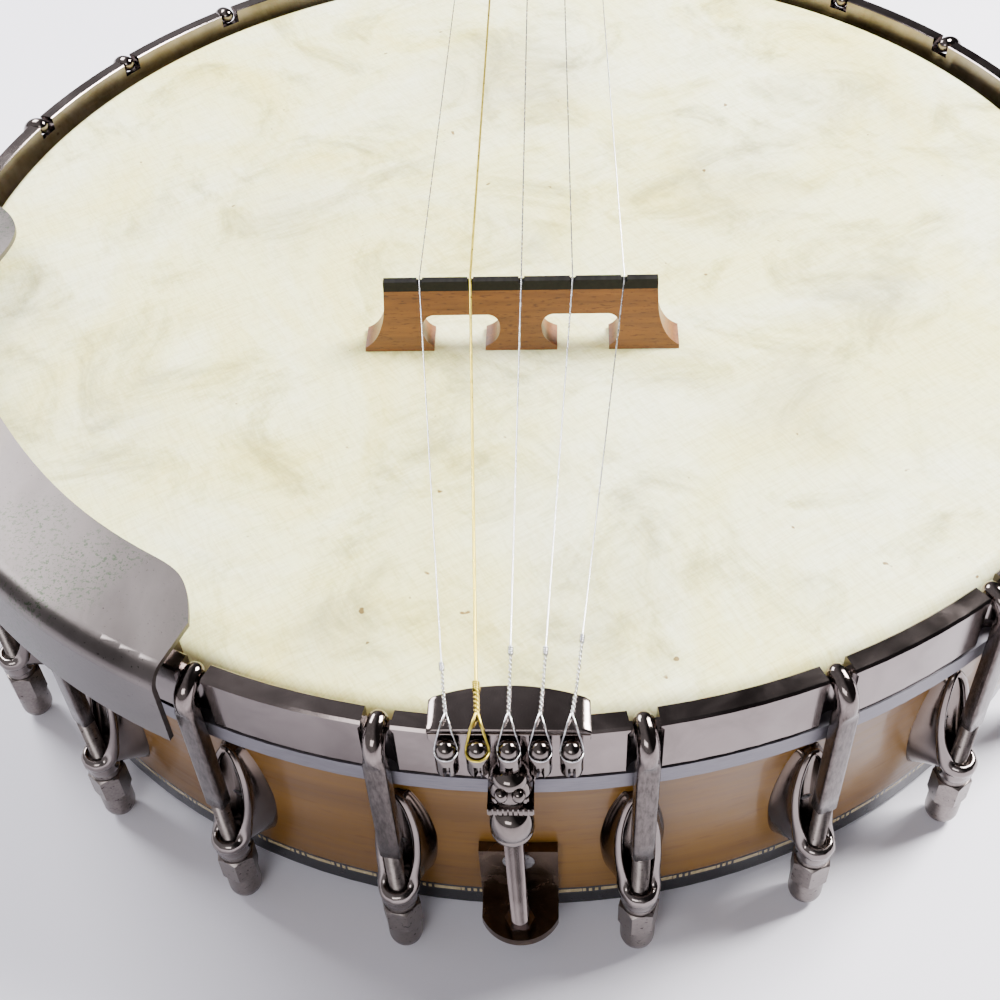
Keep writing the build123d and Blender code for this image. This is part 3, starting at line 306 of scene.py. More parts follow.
def make_shoe_nickel():
    """Nickel with a painted reflection of the maple rim: browner and darker towards the rim wall."""
    shader = Shader("shoe_nickel_painted_reflection")
    smear = shader.noise(120, 3, distortion=0.6)
    out = shader.node("ShaderNodeSeparateXYZ")
    shader.link(shader.round_the_pot()[0], out.inputs["Vector"])
    # Painted reflection of the maple rim: dark brown at the rim wall, paling to plain nickel about 5 mm out.
    depth = shader.math("SUBTRACT", out.outputs["Y"], rim_radius)
    depth = shader.math("MULTIPLY", depth, 1 / (5 * MM))
    tone = shader.ramp(depth, [(0.0, (0.085, 0.060, 0.045)), (0.45, (0.15, 0.12, 0.105)),
                               (0.95, (0.20, 0.172, 0.163))])
    shader.colour(shader.mix(0.35, tone, shader.ramp(smear, [(0.3, 0.5), (0.7, 1.0)]),
                             "MULTIPLY"))
    shader.rough(shader.ramp(smear, [(0.35, 0.12), (0.75, 0.24)]))
    shader.bump(smear, 0.00002, 0.4)
    shader.set(Metallic=1.0)
    return shader.material


def make_satin_nickel():
    """Nickel plate worn to a satin, with pits."""
    shader = Shader("satin_nickel")
    grain = shader.noise(1500, 3)
    pits = shader.noise(900, 2, roughness=0.7)
    tone = shader.ramp(grain, [(0.3, (0.15, 0.128, 0.120)), (0.7, (0.215, 0.188, 0.175))])
    dark = shader.ramp(pits, [(0.30, (0.16, 0.13, 0.12)), (0.36, (1.0, 1.0, 1.0))])
    shader.colour(shader.mix(1.0, tone, dark, "MULTIPLY"))
    shader.rough(shader.ramp(grain, [(0.3, 0.28), (0.7, 0.42)]))
    shader.bump(pits, 0.00006, 0.5)
    shader.set(Metallic=1.0)
    return shader.material


def make_armrest_metal():
    """Brushed nickel with speckled pits, green bloom and brassy wear."""
    shader = Shader("armrest_metal")
    cloud = shader.noise(22, 5, distortion=0.8)
    speck = shader.noise(1100, 3, roughness=0.75)
    patch = shader.noise(30, 4, distortion=1.2)
    tone = shader.ramp(cloud, [(0.25, (0.058, 0.050, 0.048)), (0.55, (0.110, 0.096, 0.092)),
                               (0.8, (0.070, 0.060, 0.057))])
    bloom = shader.ramp(patch, [(0.52, 0.0), (0.66, 1.0)])
    speck_mask = shader.ramp(speck, [(0.53, 0.0), (0.60, 1.0)])
    green = shader.mix(1.0, bloom, speck_mask, "MULTIPLY")
    with_green = shader.mix(green, tone, (0.045, 0.060, 0.038))
    brass_place = shader.node("ShaderNodeVectorMath", operation="DISTANCE")
    shader.link(shader.coordinates, brass_place.inputs[0])
    brass_place.inputs[1].default_value = (-0.127, -0.075, 0.08)
    brassy = shader.ramp(brass_place.outputs["Value"], [(0.0, 0.75), (0.022, 0.0)])
    with_brass = shader.mix(brassy, with_green, (0.16, 0.125, 0.05))
    pits = shader.ramp(speck, [(0.27, (0.18, 0.16, 0.15)), (0.36, (1.0, 1.0, 1.0))])
    shader.colour(shader.mix(1.0, with_brass, pits, "MULTIPLY"))
    shader.rough(shader.ramp(cloud, [(0.3, 0.27), (0.75, 0.40)]))
    shader.bump(speck, 0.00005, 0.35)
    shader.set(Metallic=1.0)
    return shader.material


def make_maple(name, along_pot):
    """Honey-coloured lacquered maple; the grain runs round the pot or along the neck."""
    shader = Shader(name)
    if along_pot:
        source = shader.round_the_pot()[0]
        fine_scale, broad_scale, fleck_scale = (9, 500, 900), (3, 30, 48), (120, 2500, 700)
    else:
        source = shader.coordinates
        fine_scale, broad_scale, fleck_scale = (900, 9, 900), (45, 3, 45), (900, 120, 900)
    fine = shader.noise(1, 4, source=shader.stretched(fine_scale, source), distortion=0.3)
    broad = shader.noise(1, 3, source=shader.stretched(broad_scale, source), distortion=1.0)
    fleck = shader.noise(1, 2, source=shader.stretched(fleck_scale, source))
    ground = shader.ramp(broad, [(0.25, (0.090, 0.040, 0.004)), (0.55, (0.155, 0.074, 0.009)),
                                 (0.8, (0.21, 0.108, 0.016))])
    lines = shader.ramp(fine, [(0.35, (0.80, 0.72, 0.62)), (0.62, (1.0, 1.0, 1.0))])
    toned = shader.mix(0.8, ground, lines, "MULTIPLY")
    flecks = shader.ramp(fleck, [(0.30, (0.74, 0.62, 0.50)), (0.40, (1.0, 1.0, 1.0))])
    shader.colour(shader.mix(0.6, toned, flecks, "MULTIPLY"))
    shader.rough(shader.ramp(fine, [(0.3, 0.30), (0.7, 0.42)]))
    shader.bump(fine, 0.00002, 0.25)
    shader.set(Coat_Weight=0.25, Coat_Roughness=0.06, Specular_IOR_Level=0.25)
    return shader.material


def make_beech():
    """Satin beech with the short dark flecks of its rays."""
    shader = Shader("beech")
    streak = shader.noise(1, 3, source=shader.stretched((60, 500, 900)), distortion=0.4)
    fleck = shader.noise(1, 2, source=shader.stretched((520, 1500, 2600)), roughness=0.6)
    ground = shader.ramp(streak, [(0.25, (0.120, 0.034, 0.002)), (0.7, (0.22, 0.072, 0.005))])
    marks = shader.ramp(fleck, [(0.34, (0.42, 0.32, 0.25)), (0.42, (1.0, 1.0, 1.0))])
    shader.colour(shader.mix(0.85, ground, marks, "MULTIPLY"))
    shader.rough(shader.ramp(streak, [(0.3, 0.38), (0.7, 0.5)]))
    shader.bump(fleck, 0.00004, 0.5)
    shader.set(Coat_Weight=0.1, Coat_Roughness=0.2)
    return shader.material


def make_purfling():
    """A black line inlaid with cream: one long dash, then three short squares."""
    shader = Shader("purfling")
    along, up = shader.round_the_pot()[1:]
    period, dash, dot_pitch, dot = 9.6 * MM, 5.6 * MM, 1.28 * MM, 0.72 * MM
    # Sixty periods reach past half the pot's edge, so the modulo never sees a minus.
    shifted = shader.math("ADD", along, 60 * period)
    place = shader.math("MODULO", shifted, period)
    in_dash = shader.math("LESS_THAN", place, dash)
    dot_place = shader.math("MODULO", shader.math("SUBTRACT", place, dash), dot_pitch)
    in_dot = shader.math("GREATER_THAN", dot_place, dot_pitch - dot)
    after = shader.math("GREATER_THAN", place, dash)
    marked = shader.math("MAXIMUM", in_dash, shader.math("MULTIPLY", in_dot, after))
    bottom = low("rim_purfling", "z") + 0.45 * MM
    top = high("rim_purfling", "z") - 0.75 * MM
    above = shader.math("GREATER_THAN", up, bottom)
    below = shader.math("LESS_THAN", up, top)
    mask = shader.math("MULTIPLY", marked, shader.math("MULTIPLY", above, below))
    grain = shader.noise(1200, 2)
    cream = shader.ramp(grain, [(0.3, (0.26, 0.20, 0.10)), (0.7, (0.40, 0.32, 0.17))])
    shader.colour(shader.mix(mask, (0.012, 0.012, 0.014), cream))
    shader.rough(shader.ramp(grain, [(0.3, 0.18), (0.7, 0.28)]))
    return shader.material


# Soft stains on the head: place in millimetres, reach in millimetres, strength.
STAINS = [
    ((-4, 74), 30, 0.80), ((50, 20), 26, 0.50), ((57, -62), 20, 0.60), ((78, -20), 24, 0.42),
    ((-60, 15), 26, 0.34), ((-88, -62), 24, 0.34), ((12, -118), 30, 0.25), ((62, -48), 12, 0.50),
    ((-118, -30), 28, 0.34), ((95, 60), 34, 0.34), ((-35, -122), 16, 0.5), ((118, -60), 14, 0.5),
]


def make_head_skin():
    """Cream vellum: cloudy blotches, pale fibres, a few stains and specks."""
    shader = Shader("head_skin")
    warp = shader.noise(14, 5, distortion=1.6, roughness=0.6)
    blotch = shader.noise(34, 6, distortion=1.2, roughness=0.68)
    fibre_a = shader.noise(1, 3, source=shader.stretched((60, 800, 1), turn=32), distortion=2.2)
    fibre_b = shader.noise(1, 3, source=shader.stretched((90, 620, 1), turn=-58), distortion=2.6)
    ground = shader.ramp(warp, [(0.30, (0.90, 0.80, 0.29)), (0.46, (0.955, 0.905, 0.47)),
                                (0.62, (0.98, 0.96, 0.66))])
    cloudy = shader.ramp(blotch, [(0.32, (0.52, 0.52, 0.42)), (0.43, (0.84, 0.84, 0.74)),
                                  (0.51, (1.0, 1.0, 1.0))])
    colour = shader.mix(0.9, ground, cloudy, "MULTIPLY")
    for fibre in (fibre_a, fibre_b):
        lines = shader.ramp(fibre, [(0.36, (0.87, 0.855, 0.76)), (0.56, (1.0, 1.0, 1.0))])
        colour = shader.mix(0.8, colour, lines, "MULTIPLY")
    for (x, y), size, strength in STAINS:
        spot = shader.node("ShaderNodeVectorMath", operation="DISTANCE")
        shader.link(shader.coordinates, spot.inputs[0])
        spot.inputs[1].default_value = (x * MM, y * MM, head_top)
        fade = shader.ramp(spot.outputs["Value"], [(0.0, strength), (size * MM, 0.0)])
        broken = shader.mix(1.0, fade, shader.ramp(blotch, [(0.36, 1.0), (0.66, 0.25)]),
                            "MULTIPLY")
        colour = shader.mix(broken, colour, (0.27, 0.26, 0.17))
    speck = shader.noise(260, 2, roughness=0.4)
    specks = shader.ramp(speck, [(0.205, (0.30, 0.22, 0.14)), (0.225, (1.0, 1.0, 1.0))])
    shader.colour(shader.mix(1.0, colour, specks, "MULTIPLY"))
    shader.rough(shader.ramp(blotch, [(0.3, 0.42), (0.7, 0.56)]))
    shader.bump(blotch, 0.00006, 0.25)
    shader.set(Subsurface_Weight=0.12, Subsurface_Scale=0.002, Specular_IOR_Level=0.35)
    return shader.material


def make_floor_paper():
    """Pale grey backdrop paper."""
    shader = Shader("floor_paper")
    mottle = shader.noise(6, 3)
    shader.colour(shader.ramp(mottle, [(0.3, (0.80, 0.785, 0.86)), (0.7, (0.84, 0.825, 0.90))]))
    shader.rough(shader.ramp(mottle, [(0.3, 0.55), (0.7, 0.65)]))
    return shader.material


def make_materials():
    """Every look by name; a name that is also a material slot dresses the CAD nodes in it."""
    return {
        "nickel": make_nickel(),
        # Freshly polished cast nickel: dark where it mirrors the room, bright at the lights.
        "polished": make_plain(
            "polished_nickel", 150, 3, [(0.3, (0.105, 0.088, 0.080)), (0.7, (0.17, 0.145, 0.135))],
            [(0.35, 0.06), (0.75, 0.15)], (0.00004, 0.5), distortion=0.8, Metallic=1.0),
        "hook_nickel": make_hook_nickel(),
        # Shoe nickel with a painted reflection of the maple rim near the wall.
        "shoe_nickel_painted_reflection": make_shoe_nickel(),
        # Nickel worn through to a brown patina.
        "aged_nickel": make_plain(
            "aged_nickel", 160, 4, [(0.3, (0.085, 0.052, 0.032)), (0.7, (0.17, 0.12, 0.085))],
            [(0.3, 0.16), (0.7, 0.32)], (0.00002, 0.4), distortion=1.0, Metallic=1.0),
        "worn_nickel": make_satin_nickel(),
        "satin_nickel": make_armrest_metal(),
        # Dull aluminium brushed round the pot.
        "aluminium": make_plain(
            "aluminium", 1, 3, [(0.3, (0.115, 0.110, 0.125)), (0.7, (0.17, 0.163, 0.18))],
            [(0.3, 0.40), (0.7, 0.52)], (0.00002, 0.4), stretch=(300, 300, 4200), Metallic=0.9),
        "steel": make_metal("steel", (0.52, 0.52, 0.53), 0.30),
        "string_steel": make_metal("string_steel", (0.72, 0.72, 0.74), 0.25),
        "wound_bronze": make_metal("wound_bronze", (0.78, 0.62, 0.10), 0.32),
        "brass": make_metal("brass", (0.62, 0.43, 0.19), 0.28),
        "nickel_silver": make_metal("nickel_silver", (0.62, 0.59, 0.53), 0.20),
        "maple": make_maple("maple", True),
        "neck_maple": make_maple("neck_maple", False),
        # Near-black wood with its grain along the neck.
        "ebony": make_plain(
            "ebony", 1, 4, [(0.35, (0.003, 0.0025, 0.002)), (0.75, (0.0078, 0.0065, 0.0052))],
            [(0.3, 0.38), (0.7, 0.53)], (0.00003, 0.5), stretch=(1500, 45, 1500),
            Specular_IOR_Level=0.22),
        "beech": make_beech(),
        # Glossy black celluloid.
        "binding": make_plain(
            "binding", 400, 2, [(0.3, (0.004, 0.004, 0.005)), (0.7, (0.009, 0.008, 0.010))],
            [(0.3, 0.16), (0.7, 0.28)], (0.00001, 0.4), Specular_IOR_Level=0.3),
        "purfling": make_purfling(),
        "skin_head": make_head_skin(),
        "bone": make_plain(
            "bone", 300, 4, [(0.3, (0.6864, 0.6424, 0.5104)), (0.7, (0.78, 0.73, 0.58))],
            [(0.3, 0.24), (0.7, 0.34)], (0.00001, 0.3), distortion=0.8),
        # Mother-of-pearl with soft cool and pink clouds.
        "pearl": make_plain(
            "pearl", 420, 4, [(0.3, (0.62, 0.70, 0.70)), (0.5, (0.82, 0.80, 0.76)),
                              (0.7, (0.70, 0.66, 0.72))],
            [(0.3, 0.12), (0.7, 0.24)], (0.00001, 0.3), distortion=2.5),
        # Cream celluloid with the fine parallel grain of ivory.
        "ivoroid": make_plain(
            "ivoroid", 1, 3, [(0.35, (0.62, 0.52, 0.33)), (0.65, (0.78, 0.70, 0.52))],
            [(0.3, 0.18), (0.7, 0.26)], (0.00001, 0.3), stretch=(1600, 90, 90), distortion=0.3,
            Coat_Weight=0.4, Coat_Roughness=0.08, Subsurface_Weight=0.08,
            Subsurface_Scale=0.002),
    }


# ---------------------------------------------------------------- mesh helpers
class Build:
    """Collects points and faces, then makes one object of them."""

    def __init__(self):
        self.points = []
        self.faces = []

    def skin(self, rings, loop=False, cap_start=False, cap_end=False):
        """Quads between closed rings of points; loop joins the last ring to the first."""
        first = len(self.points)
        size = len(rings[0])
        for ring in rings:
            self.points.extend(Vector(point) for point in ring)
        count = len(rings)
        for row in range(count if loop else count - 1):
            a = first + row * size
            b = first + ((row + 1) % count) * size
            for column in range(size):
                after = (column + 1) % size
                self.faces.append((a + column, a + after, b + after, b + column))
        if cap_start:
            self.faces.append(tuple(reversed(range(first, first + size))))
        if cap_end:
            last = first + (count - 1) * size
            self.faces.append(tuple(range(last, last + size)))

    def copies(self, matrices):
        """Repeats everything collected so far, once for each matrix."""
        points, faces = self.points, self.faces
        self.points, self.faces = [], []
        for matrix in matrices:
            start = len(self.points)
            self.points.extend(matrix @ point for point in points)
            self.faces.extend(tuple(start + index for index in face) for face in faces)

    def object(self, name, material, body="root", stands_for=(), sharp=40.0):
        """Makes the piece; edges bent more than sharp degrees stay sharp."""
        mesh = bpy.data.meshes.new(name)
        mesh.from_pydata([point * MM for point in self.points], [], self.faces)
        mesh.validate()
        tidy_normals(mesh)
        mesh.shade_smooth()
        mesh.set_sharp_from_angle(angle=math.radians(sharp))
        made = bpy.data.objects.new(name, mesh)
        bpy.context.scene.collection.objects.link(made)
        mesh.materials.append(material)
        finish_piece(made, body, stands_for)
        return made


def tidy_normals(mesh):
    """Merges points that coincide and turns every face outward."""
    work = bmesh.new()
    work.from_mesh(mesh)
    bmesh.ops.remove_doubles(work, verts=work.verts, dist=0.002 * MM)
    bmesh.ops.recalc_face_normals(work, faces=work.faces)
    work.to_mesh(mesh)
    work.free()


def finish_piece(made, body, stands_for):
    """Puts a piece on its body, in place of the CAD nodes it stands for."""
    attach(made, body)
    if stands_for:
        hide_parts(*stands_for)


def circle(radius, count):
    """Points (a, b) evenly round a circle."""
    return [(radius * math.cos(2 * math.pi * i / count),
             radius * math.sin(2 * math.pi * i / count)) for i in range(count)]


def lathe(build, profile, centre=(0.0, 0.0), count=32):
    """Turns (radius, height) points round an upright axis; radius 0 closes an end."""
    rings = []
    for radius, height in profile:
        around = circle(max(radius, 0.001), count)
        rings.append([(centre[0] + x, centre[1] + y, height) for x, y in around])
    build.skin(rings, cap_start=profile[0][0] > 0.01, cap_end=profile[-1][0] > 0.01)


def frames_along(points):
    """Side and up directions along a path of Vectors, turned as little as possible."""
    tangents = []
    for index in range(len(points)):
        before = points[max(index - 1, 0)]
        after = points[min(index + 1, len(points) - 1)]
        tangents.append((after - before).normalized())
    side = Vector((1, 0, 0))
    if abs(tangents[0].dot(side)) > 0.9:
        side = Vector((0, 0, 1))
    frames = []
    for tangent in tangents:
        side = (side - tangent * side.dot(tangent)).normalized()
        frames.append((side, tangent.cross(side)))
    return frames


def tube(build, points, radius, sides=8):
    """A round tube along points, capped at both ends."""
    rings = [[point + side * x + up * y for x, y in circle(radius, sides)]
             for point, (side, up) in zip(points, frames_along(points))]
    build.skin(rings, cap_start=True, cap_end=True)


def arc(centre, radius, start, end, count):
    """Points (a, b) on an arc, angles in degrees."""
    steps = [math.radians(start + (end - start) * i / count) for i in range(count + 1)]
    return [(centre[0] + radius * math.cos(s), centre[1] + radius * math.sin(s)) for s in steps]


def smooth_step(value):
    """0 below 0, 1 above 1, and an even S between."""
    value = min(max(value, 0.0), 1.0)
    return value * value * (3 - 2 * value)


def bracket_turns():
    """One turn for each bracket, for pieces built at +Y."""
    return [Matrix.Rotation(math.radians(180 + angle), 4, "Z") for angle in bracket_angles]


def bevel(made, width):
    """Rounds the edges of a piece, by a width in millimetres, and keeps its flats flat."""
    rounding = made.modifiers.new("edges", "BEVEL")
    rounding.width = width * MM
    rounding.segments = 3
    rounding.limit_method = "ANGLE"
    rounding.angle_limit = math.radians(35)
    rounding.harden_normals = True


# ---------------------------------------------------------------- the head
SKIN = 0.4  # thickness


def make_head(materials):
    """The skin: flat over the pot, rolled over the tone ring and down to its hoop."""
    steps = 26
    top = head_top / MM
    tone = (high("tone_ring", "z") - low("tone_ring", "z")) / MM / 2
    ring_radius = reach("tone_ring")[1] / MM - tone
    ring_z = high("tone_ring", "z") / MM - tone
    roll = top - ring_z
    outer = reach("head")[1] / MM
    flat = [(ring_radius * part / steps, top) for part in range(1, steps)]
    over = [(ring_radius + x, ring_z + y) for x, y in arc((0, 0), roll, 90, 0, 12)]
    skirt = [(outer - 0.15, hoop_bottom / MM + 3), (outer, hoop_bottom / MM),
             (outer, low("head", "z") / MM)]
    inside = [(r - SKIN, z) for r, z in reversed(skirt)]
    under = [(ring_radius + x, ring_z + y) for x, y in arc((0, 0), roll - SKIN, 0, 90, 12)]
    below = [(ring_radius * part / steps, top - SKIN) for part in range(steps - 1, 0, -1)]
    build = Build()
    profile = [(0, top)] + flat + over + skirt + inside + under + below + [(0, top - SKIN)]
    lathe(build, profile, count=256)
    build.object("head_skin", materials["skin_head"], stands_for=["head"])


# ---------------------------------------------------------------- brackets
def threaded_rod(build, foot, run, pitch, root, depth, phase=0.0):
    """A rod with a single-start thread, from foot along run; phase is a length."""
    sides, rings_per_turn = 20, 8
    direction = run.normalized()
    side = Vector((1, 0, 0))
    up = direction.cross(side)
    steps = int(run.length / pitch * rings_per_turn)
    rings = []
    for step in range(steps + 1):
        along = run.length * step / steps
        ring = []
        for index in range(sides):
            angle = 2 * math.pi * index / sides
            wave = abs((((along + phase) / pitch + index / sides) % 1.0) * 2 - 1)
            radius = root + depth * wave
            ring.append(foot + direction * along + side * radius * math.cos(angle)
                        + up * radius * math.sin(angle))
        rings.append(ring)
    build.skin(rings, cap_start=True, cap_end=True)


THREAD_END = 35.6  # height where the shank begins
ROD_RADIUS = 2.0
BEND_RADIUS = 4.0


def make_hooks(materials):
    """Rods with a threaded foot and a flat-sided shank, bent over into the hoop's notch."""
    axis = hook_radius / MM
    over_z = hook_top / MM - ROD_RADIUS
    bend_z = over_z - BEND_RADIUS
    end_y = hoop_inner / MM + ROD_RADIUS
    foot = Vector((0, axis, nut_top / MM - 1.0))
    build = Build()
    threaded_rod(build, foot, Vector((0, 0, THREAD_END - foot.z)), 0.75, 1.46, 0.36, foot.z)
    build.copies(bracket_turns())
    build.object("hook_threads", materials["worn_nickel"], sharp=18)

    # The shank, the bend and the run over the hoop: points (y, z), each with its scale.
    levels = [THREAD_END - 0.2 + part for part in (0.0, 0.35, 6, 12, 18, 24, 30)]
    levels += [bend_z - part for part in (3.4, 2.4, 1.6, 1.0, 0.5, 0.0)]
    path = [(axis, z) for z in sorted(levels) if z <= bend_z]
    path += arc((axis - BEND_RADIUS, bend_z), BEND_RADIUS, 8, 90, 10)
    path += [(end_y, over_z)]
    sizes = [0.86] + [1.0] * (len(path) - 1)
    for turned in (0.35, 0.7, 1.05, 1.35, 1.55):
        path.append((end_y - ROD_RADIUS * math.sin(turned), over_z))
        sizes.append(math.cos(turned))
    build = Build()
    rings = []
    for index, ((y, z), size) in enumerate(zip(path, sizes)):
        before = path[max(index - 1, 0)]
        after = path[min(index + 1, len(path) - 1)]
        run = Vector((0, after[0] - before[0], after[1] - before[1])).normalized()
        outward = Vector((0, run.z, -run.y))
        # The shank is squarish and thin from front to back; the bend is round.
        flat = smooth_step((bend_z - 0.6 - z) / 1.9) if y > axis - 0.2 else 0.0
        power = 1.0 - 0.66 * flat
        ring = []
        for across, out in circle(1.0, 28):
            across = math.copysign(abs(across) ** power, across) * (2.05 + 0.12 * flat)
            out = math.copysign(abs(out) ** power, out) * (2.05 - 0.42 * flat)
            ring.append(Vector((across * size, y, z)) + outward * out * size)
        rings.append(ring)
    build.skin(rings, cap_start=True, cap_end=True)
    build.copies(bracket_turns())
    build.object("bracket_hooks_formed", materials["hook_nickel"],
                 stands_for=["bracket_hooks"], sharp=48)


def mirrored(half):
    """A closed loop from its +X half, whose first and last points lie on the middle."""
    return half + [Vector((-point.x, point.y, point.z)) for point in reversed(half[1:-1])]


def blend(start, control, end, part):
    """A point on the curve from start to end that leans towards control."""
    return start * (1 - part) ** 2 + control * 2 * part * (1 - part) + end * part ** 2


def through(points, steps):
    """A smooth curve through points, open at both ends."""
    points = [Vector(point) for point in points]
    padded = [points[0] * 2 - points[1]] + points + [points[-1] * 2 - points[-2]]
    curve = []
    for a, b, c, d in zip(padded, padded[1:], padded[2:], padded[3:]):
        for step in range(steps):
            t = step / steps
            curve.append(0.5 * (2 * b + (c - a) * t + (2 * a - 5 * b + 4 * c - d) * t * t
                                + (3 * b - a - 3 * c + d) * t * t * t))
    return curve + [points[-1]]


HOOK_HOLE = 2.3  # radius of the hole in a shoe's ring


def make_shoes(materials):
    """Horn-shaped shoes: a leaf on the rim and a rolled lip that runs down to a ring."""
    surface = rim_radius / MM
    axis = hook_radius / MM
    ring_z = nut_top / MM + 4.3
    base_low, base_high = shoe_bottom / MM, shoe_top / MM
    lip = mirrored(through(
        [(0, axis + 3.0, ring_z - 0.5), (1.9, axis + 2.3, ring_z - 0.4),
         (3.0, axis + 0.2, ring_z), (3.25, axis - 1.7, ring_z + 2.6),
         (3.7, axis - 3.3, ring_z + 8.0), (3.5, axis - 4.6, ring_z + 14.0),
         (2.4, axis - 5.5, ring_z + 19.5), (1.0, axis - 6.1, ring_z + 22.6),
         (0, axis - 6.3, ring_z + 23.4)], 5))
    base = mirrored(through(
        [(0, surface, base_low), (3.6, surface, base_low + 1.2),
         (5.6, surface, base_low + 6.0), (6.45, surface, base_low + 14.0),
         (6.0, surface, base_low + 20.0), (4.6, surface, base_low + 26.5),
         (2.4, surface, base_low + 31.6), (1.0, surface, base_high - 0.5),
         (0, surface, base_high)], 5))
    for point in base:
        point.y = math.sqrt(surface ** 2 - point.x ** 2)

    # The rolled lip, thicker towards its ring.
    build = Build()
    rings = []
    for index, centre in enumerate(lip):
        run = (lip[(index + 1) % len(lip)] - lip[index - 1]).normalized()
        away = Vector((centre.x, centre.y - axis + 3.0, 0.35 * abs(centre.y - axis)))
        away = (away - run * away.dot(run)).normalized()
        up = run.cross(away).normalized()
        height = (centre.z - ring_z) / (base_high - ring_z)
        thick = 1.12 - 0.30 * max(height, 0.0)
        tall = thick * (1.5 - 0.5 * smooth_step(height * 3))
        rings.append([centre + away * x * thick + up * y * tall for x, y in circle(1.0, 14)])
    build.skin(rings, loop=True)

    # The outer shell, from the rim up to the lip.
    shell = []
    for level in range(10):
        ring = []
        for low_point, lip_point in zip(base, lip):
            low_side = smooth_step((base_low + 15 - low_point.z) / 12)
            control = Vector((low_point.x * 0.72, surface + 1.1 + 3.4 * low_side,
                              (low_point.z + lip_point.z) / 2 + 0.6))
            goal = lip_point + Vector((lip_point.x * 0.14, 0.1, -0.3))
            ring.append(blend(low_point, control, goal, level / 9))
        shell.append(ring)
    edge = [Vector((point.x * 1.02, point.y - 1.0, point.z)) for point in base]
    build.skin([edge] + shell)

    # The hollow inside the lip, down to the hook's hole.
    lining = []
    for level in range(8):
        ring = []
        for lip_point in lip:
            turn = math.atan2(lip_point.x, lip_point.y - axis + 2.901)
            hole = Vector((HOOK_HOLE * math.sin(turn), axis + HOOK_HOLE * math.cos(turn),
                           ring_z - 3.9))
            control = Vector((lip_point.x * 0.8, max(lip_point.y - 1.4, surface + 0.8),
                              lip_point.z * 0.5 + ring_z * 0.5 - 1.0))
            ring.append(blend(lip_point, control, hole, level / 7))
        lining.append(ring)
    build.skin(lining)
    collar = [(HOOK_HOLE, -4.0), (3.5, -4.1), (3.75, -3.6), (3.6, -2.4), (3.75, -1.2),
              (3.9, -0.2), (3.4, 0.4), (HOOK_HOLE, 0.3)]
    build.skin([[(x, axis + y, ring_z + z) for x, y in circle(radius, 32)]
                for radius, z in collar], loop=True)
    build.copies(bracket_turns())
    # The shoes' nickel carries a painted reflection of the maple rim.
    build.object("bracket_shoes_cast", materials["shoe_nickel_painted_reflection"],
                 stands_for=["bracket_shoes"], sharp=60)


# ---------------------------------------------------------------- tailpiece
# Millimetres; x and y from the pot's axis and heights from the floor.
HANGER_RADIUS = 1.85
POST_STEP = 5.35
FIRST_POST = -2 * POST_STEP
tail_back = -(hoop_outer / MM) - 2.2


def make_tail_plate(materials):
    """The crowned cover plate, its far edge worn brown, and the apron under it."""
    half = high("tailpiece", "x") / MM
    top = high("tailpiece", "z") / MM
    front = high("tailpiece", "y") / MM
    back = tail_back
    thick = 2.35
    build = Build()
    rings = []
    for column in range(33):
        across = -1 + 2 * column / 32
        y_front = front - 2.6 * across * across
        crown = 0.15 * across ** 4
        side = smooth_step((abs(across) - 0.93) / 0.07)
        loop = [(y_front, top - thick), (y_front, top - 0.55)]
        loop += [(y_front + a, top - 0.5 + b) for a, b in arc((-0.5, 0.0), 0.5, 25, 90, 3)]
        loop += [(back + (y_front - back) * part, top - 0.1 * (1 - part)) for part in
                 (0.85, 0.7, 0.55, 0.4, 0.25)]
        loop += [(back + 0.5 + a, top - 0.6 + b) for a, b in arc((0, 0), 0.5, 90, 170, 3)]
        loop += [(back + 0.25, top - 1.3), (back + 0.9, top - thick)]
        rings.append([(across * half, y, z - crown - 0.5 * side * (z > top - 1.2))
                      for y, z in loop])
    build.skin(rings, cap_start=True, cap_end=True)
    plate = build.object("tail_cover", materials["nickel"],
                         stands_for=["tailpiece"], sharp=35)
    plate.data.materials.append(materials["aged_nickel"])
    for face in plate.data.polygons:
        if face.center.y < (back + 0.95) * MM and face.center.z < (top - 0.8) * MM:
            face.material_index = 1

    stem = 4.2
    under = top - thick + 0.1
    outline = [(-half, under), (half, under), (half, under - 1.4), (half - 2.4, 71.5),
               (stem + 2.2, 66.6), (stem, 63.6), (stem, 61.6), (-stem, 61.6), (-stem, 63.6),
               (-stem - 2.2, 66.6), (-half + 2.4, 71.5), (-half, under - 1.4)]
    build = Build()
    build.skin([[(x, back + inset, z) for x, z in outline] for inset in (0.5, 1.7)],
               cap_start=True, cap_end=True)
    bevel(build.object("tail_apron", materials["nickel"]), 0.25)


def make_tail_posts(materials):
    """Five posts for the string loops: a slit bulb, a neck and a domed cap."""
    posts = Build()
    post_y = tail_back - 1.5
    bottom = 69.6
    for index in range(5):
        centre = (FIRST_POST + POST_STEP * index, post_y)
        levels = [(bottom + 1.4 - b, a) for a, b in arc((0, 0), 1.4, 84, 6, 5)]
        levels = [(z, radius + 0.65) for z, radius in levels]
        levels += [(bottom + 1.6 + 0.5 * i, 2.05) for i in range(1, 8)]
        levels += [(75.4, 1.95), (75.7, 1.72), (76.0, 1.66), (76.25, 1.75), (76.5, 1.8)]
        levels += [(76.4 + b, a) for a, b in arc((0, 0), 1.78, 15, 86, 6)]
        rings = []
        for z, radius in levels:
            slit = smooth_step((73.6 - z) / 0.8)
            ring = []
            for x, y in circle(1.0, 56):
                # The slit faces -Y.
                cut = 1.0 - 0.68 * slit * smooth_step((-y - 0.955) / 0.02)
                ring.append((centre[0] + radius * cut * x, centre[1] + radius * cut * y, z))
            rings.append(ring)
        posts.skin(rings, cap_start=True, cap_end=True)
    posts.object("tail_posts", materials["polished"], sharp=50)


